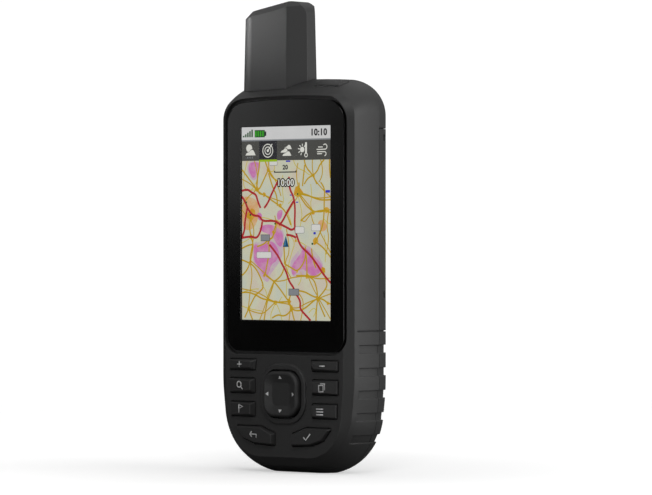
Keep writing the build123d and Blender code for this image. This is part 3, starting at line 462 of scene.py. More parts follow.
def strokes(paths, width, smooth=True):
    """Round lines of one width with closed ends, to be flattened by flat()."""
    data = bpy.data.curves.new("strokes", "CURVE")
    data.dimensions = "3D"
    data.bevel_depth = width / 2
    data.bevel_resolution = 1
    data.use_fill_caps = True
    for path in paths:
        curved = smooth and len(path) > 2
        spline = add_spline(data, path, kind="NURBS" if curved else "POLY")
        if curved:
            spline.order_u = 3
            spline.use_endpoint_u = True
            spline.resolution_u = 6
    return data

def flat(width, thickness=THIN):
    """Squashes strokes of that width to a thin print."""
    return Matrix.Diagonal((1, 1, thickness / width, 1))


def circle(x, y, radius, count=24, start=0.0, sweep=360.0):
    """Points of a circle, or of part of one, with its ends included."""
    whole = sweep >= 360
    steps = count if whole else count - 1
    angles = [math.radians(start + sweep * i / steps) for i in range(count)]
    return [(x + radius * math.cos(a), y + radius * math.sin(a)) for a in angles]


def rounded_box(x, y, width, height, radius, count=6):
    """Outline of a rounded rectangle round (x, y)."""
    points = []
    for sx, sy, start in ((1, 1, 0), (-1, 1, 90), (-1, -1, 180), (1, -1, 270)):
        middle = (x + sx * (width / 2 - radius), y + sy * (height / 2 - radius))
        points += circle(*middle, radius, count, start, 90)
    return points


def text(words, size, x, y):
    """Digits as a filled curve."""
    data = bpy.data.curves.new("digits", "FONT")
    data.body = words
    data.size = size
    data.align_x = "CENTER"
    data.align_y = "CENTER"
    data.offset_x = x
    data.offset_y = y
    data.extrude = THIN / 2
    data.offset = 0.04 * size
    data.space_character = 1.08
    return data


print("drawing helpers ready")

# %% [markdown]
# ## The cover glass and its black print
# In the frame the lens is one plain plate. Here it becomes a black print with softened edges, which keeps the
# plate's outline and depth and leaves a window for the display, and a thin sheet of clear glass in that window.
# The glass is a clear film that only adds its gloss, because a bonded panel shows no gap and hardly any bend in
# the light.

# %% Lens outline
SCREEN_MIDDLE = 86.0
SCREEN_HALF_WIDTH = 20.04
SCREEN_HALF_HEIGHT = 33.4
PICTURE_DEPTH = DISPLAY_DEPTH / MM
TOP_ARCH = 1.1
TOP_CORNER = 7.6
BOTTOM_CORNER = 5.0
ARCH_START = 0.3
ARCH_STEPS = 14
lens_low, lens_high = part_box("display_lens")
lens_half = lens_high.x / MM
lens_bottom = lens_low.z / MM - SCREEN_MIDDLE
lens_top = lens_high.z / MM - SCREEN_MIDDLE
lens_front = lens_low.y / MM
lens_back = lens_high.y / MM


def lens_outline():
    """The lens outline: arched top edge, large upper corners, smaller lower ones."""
    corner_x = lens_half - TOP_CORNER
    arch_foot = lens_top - TOP_ARCH + ARCH_START
    low = lens_bottom + BOTTOM_CORNER
    points = circle(corner_x, arch_foot - TOP_CORNER, TOP_CORNER, 10, 0, 84)
    for i in range(1, ARCH_STEPS):
        across = 1 - 2 * i / ARCH_STEPS
        points.append((corner_x * across, arch_foot + (TOP_ARCH - ARCH_START) * (1 - across * across)))
    points += circle(-corner_x, arch_foot - TOP_CORNER, TOP_CORNER, 10, 96, 84)
    points += circle(BOTTOM_CORNER - lens_half, low, BOTTOM_CORNER, 8, 180, 90)
    points += circle(lens_half - BOTTOM_CORNER, low, BOTTOM_CORNER, 8, 270, 90)
    return points

print("lens", round(2 * lens_half, 1), "mm wide")

# %% Cover glass and print
GLASS_EDGE = 0.25
window = rounded_box(0, 0, 2 * SCREEN_HALF_WIDTH, 2 * SCREEN_HALF_HEIGHT, 0.2, 3)

clear_glass, tree, shader = new_finish("clear cover glass", Base_Color=grey(0.01), Alpha=0.05, IOR=1.5)
add_gloss(tree, shader, 0.1, 0.16)

black_print, tree, shader = new_finish("black print behind glass", Base_Color=grey(0.0008), IOR=1.5)
add_gloss(tree, shader, 0.17, 0.24)

border = settle(
    "lens_print",
    filled([lens_outline(), window], lens_back - lens_front, GLASS_EDGE),
    upright(0, (lens_front + lens_back) / 2, SCREEN_MIDDLE),
    "housing",
    black_print,
)
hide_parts("display_lens")
settle(
    "lens_window",
    filled([window], 0.1),
    upright(0, lens_front + 0.06, SCREEN_MIDDLE),
    "housing",
    clear_glass,
)
print("glass and print made")


# %% [markdown]
# ## The lit display
# Each colour on the display is a finish that glows a little and still has the panel's soft gloss. The
# picture is built in thin layers: a printed map at the back, then roads, then the bars and icons over it.


# %% Lit colours
def shade_of(code):
    """Linear colour of a two-digit-per-channel colour code."""
    parts = [int(code[i : i + 2], 16) / 255 for i in (0, 2, 4)]
    return (*(v / 12.92 if v <= 0.04045 else ((v + 0.055) / 1.055) ** 2.4 for v in parts), 1)

def glowing(name):
    """The start of a display finish: nearly black, softly glossy, ready to give its own light."""
    return new_finish(
        name, Base_Color=grey(0.01), Roughness=0.4, Specular_IOR_Level=0.1, Emission_Strength=1.0
    )

def lit(name, code):
    """One display colour with a faint unevenness."""
    material, tree, shader = glowing("lit " + name)
    uneven = object_noise(tree, 240.0, Detail=1.0)
    shade = add_node(tree, "ShaderNodeMix", data_type="RGBA", blend_type="MULTIPLY", Factor=0.08)
    shade.inputs[6].default_value = shade_of(code)
    join(tree, uneven.outputs["Fac"], shade.inputs[7])
    join(tree, shade.outputs[2], shader.inputs["Emission Color"])
    return material

LIT = {
    "status": lit("status bar", "cfcfcf"),
    "bar": lit("tool bar", "4b4b48"),
    "tab": lit("open tab", "2c2c30"),
    "white": lit("white", "dcdcd4"),
    "lime": lit("lime", "97b81c"),
    "green": lit("green", "3aa326"),
    "dark_green": lit("dark green", "254f27"),
    "ink": lit("ink", "262629"),
    "red": lit("trunk road", "a9282f"),
    "ochre": lit("main road", "b9961e"),
    "pale_road": lit("side road", "c4b44e"),
    "sign": lit("sign plate", "d5d4cf"),
    "sign_grey": lit("sign border", "83868a"),
    "water": lit("water", "3436b4"),
    "pointer": lit("pointer", "1c4a6c"),
    "pointer_light": lit("pointer ridge", "3c7899"),
}
print(len(LIT), "display colours")

# %% [markdown]
# ## Laying out the display
# The picture is drawn in hundredths of the display, measured from its top left corner, the way a screen
# designer would note it. A small helper turns those into millimetres, and every layer sits a hair in front
# of the one before.

# %% Display layout
LAYER_STEP = 0.012
layers_used = 0


def on_display(across, down):
    """Millimetres from the middle of the display, from hundredths of its width and height."""
    return (
        SCREEN_HALF_WIDTH * (across / 50 - 1),
        SCREEN_HALF_HEIGHT * (1 - down / 50),
    )


def layer(name, data, colour, squash=None):
    """Lays a drawing on the display, in front of the layers already there."""
    global layers_used
    placement = upright(0, PICTURE_DEPTH - LAYER_STEP * layers_used, SCREEN_MIDDLE)
    layers_used += 1
    if squash:
        placement = placement @ squash
    return settle("display_" + name, data, placement, "housing", colour)

def ribbons(name, paths, width, colour, smooth=True):
    """Lays lines of one width on the display, flattened to thin ribbons."""
    layer(name, strokes(paths, width, smooth), LIT[colour], flat(width))


def patch(points):
    """Outline through points given in hundredths of the display."""
    return [on_display(*p) for p in points]


def bar(left, top, right, bottom):
    """Outline of a plain rectangle, in hundredths of the display."""
    return patch([(left, top), (right, top), (right, bottom), (left, bottom)])


def cut_corners(outline, rounds, keep):
    """The same outline with its corners cut again and again, until it is round."""
    for _ in range(rounds):
        rounder = []
        for (ax, ay), (bx, by) in zip(outline, outline[1:] + outline[:1]):
            rounder.append((keep * ax + (1 - keep) * bx, keep * ay + (1 - keep) * by))
            rounder.append(((1 - keep) * ax + keep * bx, (1 - keep) * ay + keep * by))
        outline = rounder
    return outline

def soft_patch(points):
    """A rounded outline from points given in hundredths of the display."""
    return cut_corners(patch(points), 3, 0.75)

print("one hundredth across is", round(SCREEN_HALF_WIDTH / 50, 2), "mm")

# %% [markdown]
# ## The map sheet
# A map like this is mostly quiet: pale green and buff country with slow changes of tone. Noise does that
# better than drawn shapes. Woods and built-up ground lie over it as soft patches in pink, tan and orange.


# %% Map colours
def mottled(name, scale, detail, *stops):
    """Lit ground whose tone drifts between the given stops."""
    material, tree, shader = glowing("lit " + name)
    drift = object_noise(tree, scale, Detail=detail)
    ramp = add_node(tree, "ShaderNodeValToRGB")
    set_stops(ramp, *[(position, shade_of(code)) for position, code in stops])
    join(tree, drift.outputs["Fac"], ramp.inputs["Fac"])
    join(tree, ramp.outputs["Color"], shader.inputs["Emission Color"])
    return material

def two_shades(name, first, second):
    """Woodland or built-up ground, mottled between two tones."""
    return mottled(name, 420.0, 4.0, (0.42, first), (0.66, second))

country = mottled("country", 130.0, 3.0, (0.38, "bfc3b3"), (0.62, "c6bdab"), (0.5, "c6c6ae"))
heath = two_shades("heath", "c274ac", "c694b0")
suburb = two_shades("suburb", "cf9f6e", "cdb088")
pale_wood = two_shades("pale wood", "bfa3b6", "bfb9ad")
town = two_shades("town", "c08c22", "cba13e")
print("map colours ready")

# %% Ground and patches
MAP_TOP = 17.5
layer("country", filled([bar(0, 0, 100, 100)]), country)
SUBURBS = [
    [(0, 36), (8, 36), (17, 38), (20, 44), (15, 52), (6, 54), (0, 52)],
    [(37, 48), (44, 49), (45, 54), (38, 55)],
    [(84, 49), (92, 48), (96, 53), (88, 55)],
]
PALE_WOODS = [
    [(12, 59), (22, 60), (44, 52), (48, 56), (47, 66), (38, 73), (32, 76), (30, 81), (23, 79), (12, 71)],
    [(53, 70), (62, 65), (70, 60), (84, 65), (93, 73), (84, 79), (70, 77), (57, 79)],
    [(6, 18), (20, 17.5), (21, 22), (14, 29), (6, 24)],
]
HEATHS = [
    [
        (13, 60), (20, 62), (30, 59), (37, 60), (43, 66), (38, 70),
        (33, 71), (29, 78), (24, 77), (19, 73), (13, 69),
    ],
    [(19, 52), (30, 50), (44, 53), (47, 58), (44, 63), (38, 60), (33, 56), (21, 54)],
    [
        (55, 72), (64, 67), (70, 62), (77, 65), (83, 68), (91, 72),
        (86, 76), (79, 78), (73, 75), (66, 73), (57, 78),
    ],
    [(8, 18.5), (18, 18), (20, 20), (16, 25), (12, 27), (7, 22)],
    [(39, 44), (46, 42.5), (45, 47), (40, 49)],
    [(17, 44), (23, 45), (22, 49), (18, 48)],
]
layer("suburbs", filled([soft_patch(p) for p in SUBURBS]), suburb)
layer("woods", filled([soft_patch(p) for p in PALE_WOODS]), pale_wood)
layer("heaths", filled([soft_patch(p) for p in HEATHS]), heath)
print("ground laid")

# %% [markdown]
# ## Roads
# A road map reads as a net: a few heavy trunk roads, many thin ones, and small towns where they meet. The
# towns are placed first, and each road is a smooth line that is given only its bends. A line of one width
# becomes a thin ribbon.

# %% Towns
TOWNS = {
    "mill": (29.5, 22.5, 1.3),
    "cross": (80, 25.5, 1.1),
    "ford": (17, 32.5, 1.6),
    "county": (63, 34.2, 3.6),
    "lane": (25, 35, 1.3),
    "green": (43, 41, 1.2),
    "east": (80, 44.5, 1.3),
    "quay": (95, 43.5, 1.8),
    "city": (10, 45.8, 3.4),
    "market": (39, 49.6, 1.6),
    "west": (10, 57, 1.3),
    "moor": (35.5, 54.5, 1.2),
    "well": (60.5, 59, 0.9),
    "forge": (82, 59.5, 2.2),
    "dale": (25, 77, 1.2),
    "bridge": (36, 80, 1.0),
    "hill": (62, 75, 0.8),
    "park": (73, 77, 1.4),
    "gate": (91, 74, 1.8),
    "vale": (9, 70.5, 1.0),
    "inn": (15.5, 87, 0.8),
    "field": (29, 89.6, 0.8),
    "abbey": (38, 91, 1.4),
    "castle": (53, 90.5, 1.5),
    "south": (56, 94, 1.6),
    "college": (85, 88.5, 1.5),
    "coast": (7.5, 94.3, 1.4),
    "sands": (96, 91, 1.0),
}
random.seed(7)
town_shapes = []
for middle_x, middle_y, size in TOWNS.values():
    x, y = on_display(middle_x, middle_y)
    wobble = [random.uniform(0.7, 1.3) for _ in range(9)]
    town_shapes.append(
        [
            (
                x + 0.55 * size * wobble[i] * math.cos(math.tau * i / 9),
                y + 0.62 * size * wobble[i] * math.sin(math.tau * i / 9),
            )
            for i in range(9)
        ]
    )
layer("towns", filled(town_shapes), town)
print(len(TOWNS), "towns")

# %% Side roads
SIDE_ROADS = [
    [(6, 17.5), (3, 22), (1, 30), (5, 33), (17, 32.5)],
    [(17, 28), (13, 31), (10, 33)],
    [(34, 17.5), (38, 21), (34, 24), (29.5, 22.5)],
    [(58, 17.5), (60, 22), (70, 23)],
    [(70, 23), (76, 26), (80, 25.5)],
    [(46, 25), (45, 33), (48, 40), (43, 41)],
    [(52, 40), (58, 37), (63, 34.2)],
    [(63, 36), (66, 41), (68, 47), (65, 52)],
    [(77, 30), (79, 36), (76, 41), (80, 44.5)],
    [(92, 48), (97, 51), (100, 50)],
    [(50, 43), (55, 48), (56, 52)],
    [(39, 49.6), (30, 47), (22, 47)],
    [(0, 60), (6, 59), (10, 57)],
    [(53, 56), (60.5, 59), (56, 65), (52, 72), (50, 79), (50, 88)],
    [(60.5, 59), (68, 60), (73, 62)],
    [(92, 56), (94, 62), (93, 70)],
    [(22, 82), (28, 84), (29, 89.6)],
    [(0, 86), (9, 84), (19, 84)],
    [(38, 91), (34, 95), (32, 98), (33, 100)],
    [(38, 91), (43, 95), (45, 100)],
    [(63, 82), (68, 79), (66, 75)],
    [(75, 96), (80, 93), (84, 95), (80, 98)],
    [(0, 93), (7.5, 94.3), (16, 95), (23, 95.5)],
    [(45, 88), (41, 91)],
    [(92, 84), (97, 84.5), (100, 84)],
]
ribbons("side_roads", [patch(p) for p in SIDE_ROADS], 0.3, "pale_road")
print(len(SIDE_ROADS), "side roads")

# %% Main and trunk roads
MAIN_ROADS = [
    [(26, 17.5), (29.5, 22.5), (35, 27), (42, 28.5)],
    [(29.5, 22.5), (25, 27), (19, 33), (17, 32.5)],
    [(0, 22), (8, 27), (17, 32.5), (20, 35), (25, 35)],
    [(20, 17.5), (19, 23), (16, 30), (17, 32.5)],
    [(70, 17.5), (71, 21), (80, 25.5), (84, 30)],
    [(92, 17.5), (87, 20), (85, 23), (80, 25.5), (73, 27), (70, 30)],
    [(70.5, 20), (69, 26), (68, 31)],
    [(98, 17.5), (97.5, 22), (99, 27)],
    [(64, 29), (65, 32), (63, 34.2)],
    [(63, 34.2), (71, 35), (80, 37), (90, 38.5), (100, 38)],
    [(63, 34.2), (70, 40), (77, 43), (80, 44.5), (88, 43.5), (95, 43.5), (100, 45)],
    [(88, 29), (93, 32), (92, 38), (92, 44), (91, 50), (87, 56), (82, 59.5)],
    [(30, 24), (34, 31), (40, 36), (40, 41)],
    [(25, 35), (33, 38), (43, 41), (51, 45), (55, 51)],
    [(80, 44.5), (73, 45), (66, 49)],
    [(10, 45.8), (8, 51), (10, 57), (13, 61), (11, 66), (9, 70.5), (5, 75), (0, 77)],
    [(0, 63), (7, 61), (12, 61)],
    [
        (0, 69), (9, 70.5), (15, 73), (20, 77), (25, 83),
        (20, 85.5), (15.5, 87), (11, 91), (7.5, 94.3), (3, 99),
    ],
    [(0, 86), (6, 85.5), (15.5, 87), (22, 89), (29, 89.6), (38, 91), (46, 90.5), (53, 90.5)],
    [(27, 77), (33, 79), (36, 80), (43, 84), (49, 88), (53, 90.5)],
    [(48, 72), (46, 76), (40, 79), (36, 80), (34, 84), (29, 89.6), (27, 94), (25, 100)],
    [
        (53, 90.5), (56, 94), (60, 95), (66, 95), (73, 93),
        (80, 90), (85, 88.5), (91, 89), (96, 91), (100, 91.5),
    ],
    [(56, 94), (52, 97), (46, 98), (40, 97), (34, 99)],
    [(60, 84.5), (70, 85), (77, 87), (85, 88.5), (84, 84), (81, 79), (73, 77), (66, 77), (61, 77)],
    [
        (73, 77), (80, 77.5), (86, 77), (91, 74), (93, 78),
        (96, 82), (90, 86), (85, 88.5), (88, 93), (93, 98),
    ],
    [(85, 88.5), (83, 94), (83, 100)],
    [(56, 94), (57, 97), (59, 100)],
    [(53, 90.5), (54, 87), (57, 84)],
    [(48, 71), (56, 73), (62, 75), (69, 71), (72, 66), (71, 62)],
    [(72, 66), (73, 71), (73, 77)],
    [(78, 63), (79, 69), (83, 73)],
    [(82, 59.5), (90, 62), (95, 65), (100, 68)],
    [(47, 60), (48, 66), (48, 71)],
    [(17, 62), (25, 61), (30, 58), (31, 65), (28, 72), (26, 77)],
    [(39, 49.6), (35.5, 54.5), (35, 58), (31, 58)],
    [(7.5, 94.3), (10, 98), (12, 100)],
]
LANES = [
    [(79, 17.5), (78, 25), (88, 32), (100, 37)],
    [(65, 35), (78, 36.5), (89, 37.5), (100, 36.5)],
    [(65, 35), (77, 42), (80, 44), (90, 44.5), (100, 43)],
    [(80, 44), (74, 47), (70, 50), (66, 48)],
    [(77, 44), (79, 50), (86, 53), (90, 57), (100, 66)],
    [(97, 44), (94, 51), (98, 58), (94, 66)],
    [(0, 43), (6, 47), (10, 48), (14, 53), (12, 61), (8, 69), (12, 76), (9, 85), (7, 95)],
    [(37, 46), (40, 53), (34, 57), (28, 61)],
    [(0, 27), (9, 29), (17, 33), (27, 36), (46, 39)],
    [(36, 80), (21, 74), (9, 69)],
    [(36, 80), (46, 80), (55, 78), (74, 77), (86, 79), (100, 78)],
    [(74, 77), (79, 83), (86, 88.5), (100, 100)],
    [(55, 93.5), (63, 94), (70, 91.5), (86, 88.5), (100, 86)],
    [(0, 84), (12, 85), (21, 86.5), (37, 91), (53, 91.5), (55, 93.5), (53, 100)],
    [(8, 95), (21, 97.5), (29, 95), (37, 91)],
    [(50, 53), (55, 64), (48, 70), (51, 75), (55, 78)],
    [(63, 19), (60, 24), (65, 35), (57, 40), (50, 46)],
    [(88, 17.5), (93, 25), (86, 29)],
    [(14, 17.5), (18, 24), (17, 33), (6, 36), (0, 41)],
    [(30, 17.5), (29, 22), (40, 29), (44, 36)],
    [(60, 84), (66, 87), (70, 91.5), (66, 100)],
    [(20, 100), (26, 93), (30, 86), (36, 80)],
]
TRUNK_ROADS = [
    [(0, 33), (6, 32), (11, 34), (16, 35), (18, 39), (21, 42)],
    [
        (0, 36), (4, 39), (6, 42), (12, 46), (20, 46), (23, 49),
        (36, 48.5), (41, 50), (50, 52), (57, 54), (60, 52),
    ],
    [(41, 28), (34, 34), (29, 40), (25, 42)],
    [
        (53, 26), (53, 32), (58, 36), (60, 42), (59, 52), (62, 57),
        (66, 62), (76, 66), (84, 71), (92, 77), (100, 81),
    ],
    [(59, 38), (52, 43), (46, 49), (42, 51)],
    [(23, 49), (22, 53), (17, 58), (10, 56.5), (0, 57.5)],
    [(6, 42), (3, 49), (3, 54), (0, 57)],
    [
        (31, 61), (40, 66), (45, 71), (50, 75), (53, 80), (58, 83),
        (60, 86), (66, 90), (65, 94), (71, 97), (77, 100),
    ],
    [(50, 56), (56, 56), (61, 57.5)],
]
ribbons("lanes", [patch(p) for p in LANES], 0.4, "ochre")
ribbons("main_roads", [patch(p) for p in MAIN_ROADS], 0.56, "ochre")
ribbons("trunk_roads", [patch(p) for p in TRUNK_ROADS], 0.78, "red")
print(len(MAIN_ROADS) + len(LANES), "main roads,", len(TRUNK_ROADS), "trunk roads")

# %% [markdown]
# ## Signs and marks on the map
# Over the roads lie the signs: blank road plates with a border, small lakes, the blue arrow that says where
# the user is, and a scale bar. A plate is two rounded boxes, one a little smaller, so the larger shows as a
# rim.

# %% Map marks
SIGNS = [(65, 53.5, 9.5, 5.0), (83, 52.3, 9.5, 5.0), (35.5, 18.8, 8.5, 3.6), (25, 66.4, 16, 4.8)]
GREY_SIGNS = [(26.5, 57.5, 9.5, 4.8), (58.5, 85.5, 11, 5.0)]
LAKES = [
    (96, 33.8, 5, 2.2),
    (81.5, 55.2, 2.6, 2.0),
    (52, 18, 5, 1.2),
    (55, 35.5, 2.4, 0.9),
    (62, 39.2, 3, 0.9),
]
GREEN_SPOTS = [(62.6, 35, 0.35), (9.5, 45.6, 0.35), (37.5, 50.2, 0.35), (79, 60.6, 0.4), (5, 39, 0.3)]


def plates(spots, grow, corner):
    """Rounded boxes at the given places, each larger than its own size by grow."""
    outlines = []
    for across, down, width, height in spots:
        x, y = on_display(across, down)
        wide = width * SCREEN_HALF_WIDTH / 50 + grow
        high = height * SCREEN_HALF_HEIGHT / 50 * 0.62 + grow
        outlines.append(rounded_box(x, y, wide, high, corner))
    return outlines


layer("lakes", filled(plates(LAKES, 0, 0.25)), LIT["water"])
layer("parks", filled([circle(*on_display(a, d), r, 12) for a, d, r in GREEN_SPOTS]), LIT["dark_green"])
layer("sign_rims", filled(plates(SIGNS, 0.3, 0.5)), LIT["sign_grey"])
layer("signs", filled(plates(SIGNS, 0, 0.4)), LIT["sign"])
layer("grey_sign_rims", filled(plates(GREY_SIGNS, 0.3, 0.15)), LIT["ink"])
layer("grey_signs", filled(plates(GREY_SIGNS, 0, 0.1)), LIT["sign_grey"])

pointer_x, pointer_y = on_display(49.6, 59.3)
POINTER = [(-1.3, -1.95), (1.3, -1.95), (0, 1.95)]
POINTER_RIDGE = [(-0.91, -1.638), (0, -1.404), (0, 1.404)]
for name, outline in (("pointer", POINTER), ("pointer_ridge", POINTER_RIDGE)):
    colour = LIT["pointer" if name == "pointer" else "pointer_light"]
    layer(name, filled([[(pointer_x + x, pointer_y + y) for x, y in outline]]), colour)

scale_left, scale_y = on_display(37, 23.6)
scale_right, _ = on_display(61, 23.6)
SCALE_TICK = 0.5
scale_path = [
    (scale_left, scale_y + SCALE_TICK),
    (scale_left, scale_y),
    (scale_right, scale_y),
    (scale_right, scale_y + SCALE_TICK),
]
ribbons("scale_bar", [scale_path], 0.55, "ink", smooth=False)
layer("scale_digits", text("20", 2.2, *on_display(49, 21.2)), LIT["ink"])

timer_spot = on_display(49.4, 29.2)
halo = text("10:00", 3.2, *timer_spot)
halo.offset = 0.46
layer("timer_halo", halo, LIT["ink"])
digits = text("10:00", 3.2, *timer_spot)
digits.offset = 0.06
layer("timer_digits", digits, LIT["white"])
print(layers_used, "layers so far")

# %% [markdown]
# ## Status bar and tool bar
# Across the top runs a light bar with signal, charge and time. Under it sit five tabs with small weather
# drawings, and the open tab is darker with a lime line. All of it is again flat artwork, laid over the map
# sheet.

# %% Status bar
STATUS_BOTTOM = 6.6
layer("status_bar", filled([bar(0, 0, 100, STATUS_BOTTOM)]), LIT["status"])
layer("status_edge", filled([bar(0, STATUS_BOTTOM, 100, 7.3)]), LIT["sign_grey"])
signal_bars = [bar(1.4 + 2.4 * i, 4.4 - 0.78 * i, 3.0 + 2.4 * i, 5.2) for i in range(5)]
layer("signal", filled(signal_bars), LIT["dark_green"])
layer("battery_tip", filled([bar(25.2, 2.4, 27.8, 4.7)]), LIT["ink"])
layer("battery_case", filled([bar(14.8, 1.6, 26.2, 5.4)]), LIT["dark_green"])
cells = [bar(15.4 + 2.65 * i, 2.1, 16.9 + 2.65 * i, 4.9) for i in range(4)]
layer("battery_cells", filled(cells), LIT["green"])
layer("clock", text("10:10", 3.1, *on_display(86.4, 3.5)), LIT["ink"])
print("status bar drawn")

# %% Tool bar
TAB_WIDTH = 20
TOOL_TOP = 7.3
layer("tool_bar", filled([bar(0, TOOL_TOP, 100, MAP_TOP)]), LIT["bar"])
layer("open_tab", filled([bar(TAB_WIDTH, TOOL_TOP, 2 * TAB_WIDTH, MAP_TOP)]), LIT["tab"])
layer("tab_line", filled([bar(TAB_WIDTH, MAP_TOP - 0.5, 2 * TAB_WIDTH, MAP_TOP + 0.6)]), LIT["lime"])
tab_spots = [on_display(TAB_WIDTH * (i + 0.5), 12.4) for i in range(5)]


def cloud(x, y, half, height):
    """A cloud: a low heap with a flat foot."""
    left_foot = (x - half, y - height / 2)
    right_foot = (x + half, y - height / 2)
    heap = [
        (x - 0.74 * half, y),
        (x - 0.28 * half, y + 0.1 * height),
        (x + 0.12 * half, y + 0.56 * height),
        (x + 0.6 * half, y + 0.5 * height),
    ]
    return cut_corners([left_foot, left_foot, *heap, right_foot, right_foot], 2, 0.78)


rain_x, rain_y = tab_spots[0]
radar_x, radar_y = tab_spots[1]
heap_x, heap_y = tab_spots[2]
heat_x, heat_y = tab_spots[3]
wind_x, wind_y = tab_spots[4]

ICON_GAP = 0.24
clouds_drawn = [
    (rain_x + 0.1, rain_y - 0.6, 2.3, 1.8),
    (heap_x + 0.95, heap_y + 1.1, 1.75, 1.4),
    (heap_x - 0.55, heap_y - 0.05, 1.7, 1.4),
    (heap_x + 0.55, heap_y - 1.15, 2.0, 1.5),
]
layer("sun_disc", filled([circle(rain_x - 0.5, rain_y + 0.95, 1.35)]), LIT["white"])
for number, (x, y, half, height) in enumerate(clouds_drawn):
    gap = cloud(x, y, half + ICON_GAP, height + 2 * ICON_GAP)
    layer("cloud_gap_" + str(number), filled([gap]), LIT["bar"])
    layer("cloud_" + str(number), filled([cloud(x, y, half, height)]), LIT["white"])
layer(
    "icon_solids",
    filled(
        [
            circle(radar_x, radar_y, 0.5, 12),
            circle(heat_x - 0.6, heat_y + 0.15, 0.95, 16),
            rounded_box(heat_x + 1.1, heat_y + 0.75, 0.8, 3.9, 0.38),
        ]
    ),
    LIT["white"],
)

rain = [[(rain_x - 1.1 + 0.75 * i, rain_y - 2.0), (rain_x - 1.3 + 0.75 * i, rain_y - 2.6)] for i in range(4)]
rings = [circle(radar_x, radar_y, r, 25) for r in (1.3, 2.25)] + [circle(heat_x + 1.1, heat_y - 1.75, 0.62, 17)]
rings = [points + points[:1] for points in rings]
needle = [[(radar_x, radar_y), (radar_x + 2.0, radar_y + 2.3)]]
ray_angles = [math.radians(a) for a in (50, 90, 130, 170, 210, 250)]
rays = [
    [
        (heat_x - 0.5 + 1.2 * math.cos(a), heat_y + 0.15 + 1.2 * math.sin(a)),
        (heat_x - 0.5 + 2.0 * math.cos(a), heat_y + 0.15 + 2.0 * math.sin(a)),
    ]
    for a in ray_angles
]
upper_curl = circle(wind_x + 1.5, wind_y + 1.0, 0.9, 7, -60, 200)
lower_curl = circle(wind_x + 1.3, wind_y - 1.4, 0.7, 6, 60, -150)
wind = [
    [(wind_x - 2.2, wind_y + 0.1), (wind_x + 1.6, wind_y + 0.1), *upper_curl],
    [(wind_x - 1.5, wind_y + 0.9), (wind_x + 0.5, wind_y + 0.9)],
    [(wind_x - 1.9, wind_y - 0.7), (wind_x + 1.3, wind_y - 0.7), *lower_curl],
    [(wind_x - 2.0, wind_y - 1.4), (wind_x + 0.2, wind_y - 1.4)],
]
ribbons("icon_rings", rings, 0.32, "white", smooth=False)
ribbons("icon_lines", needle + rays + wind, 0.34, "white")
layer("icon_rain", strokes(rain, 0.28), LIT["sign_grey"], flat(0.26))
print("tool bar drawn,", layers_used, "layers in all")

# %% [markdown]
# ## Key symbols
# The keys carry a pale print. It is laid on each sloping key face and rides with that key, so it sinks when
# the key is pressed. Plain signs stand in for words: a lens for find, a sheet for page, a flag for mark,
# lines for menu, an arrow back for quit and a tick for enter.

# %% Symbol drawings
PRINT_HEIGHT = 0.02
SYMBOL_LINE = 0.44
SYMBOL_SCALE = 1.2


def ring(x, y, radius):
    """A closed circle as a stroke."""
    return circle(x, y, radius, 25)[:-1] + [(x + radius, y)]


SYMBOLS = {
    "zoom_in_key": [[(-0.9, 0), (0.9, 0)], [(0, -0.9), (0, 0.9)]],
    "zoom_out_key": [[(-0.9, 0), (0.9, 0)]],
    "find_key": [ring(-0.3, 0.25, 0.85), [(0.35, -0.4), (1.15, -1.15)]],
    "page_key": [
        [(-1.0, -0.9), (-1.0, 0.9), (0.5, 0.9), (0.5, -0.9), (-1.0, -0.9)],
        [(-0.5, 1.35), (1.0, 1.35), (1.0, -0.45)],
    ],
    "mark_key": [[(-0.7, -1.2), (-0.7, 1.2)], [(-0.7, 1.2), (0.9, 0.65), (-0.7, 0.1)]],
    "menu_key": [[(-1.2, 0.8), (1.2, 0.8)], [(-1.2, 0), (1.2, 0)], [(-1.2, -0.8), (1.2, -0.8)]],
    "quit_key": [
        [(1.3, -0.75), (1.3, 0.3), (-1.2, 0.3)],
        [(-0.4, 1.1), (-1.2, 0.3), (-0.4, -0.5)],
    ],
    "enter_key": [[(-1.2, 0.0), (-0.35, -0.85), (1.3, 0.95)]],
}
key_print, tree, shader = new_finish("key print", Roughness=0.55)
texture = use_group(tree, spark, Scale=1.4)
ink = add_node(tree, "ShaderNodeValToRGB")
set_stops(ink, (0.3, grey(0.6)), (0.6, grey(0.78)))
join(tree, texture.outputs["Tone"], ink.inputs["Fac"])
join(tree, ink.outputs["Color"], shader.inputs["Base Color"])
print(len(SYMBOLS), "key symbols")

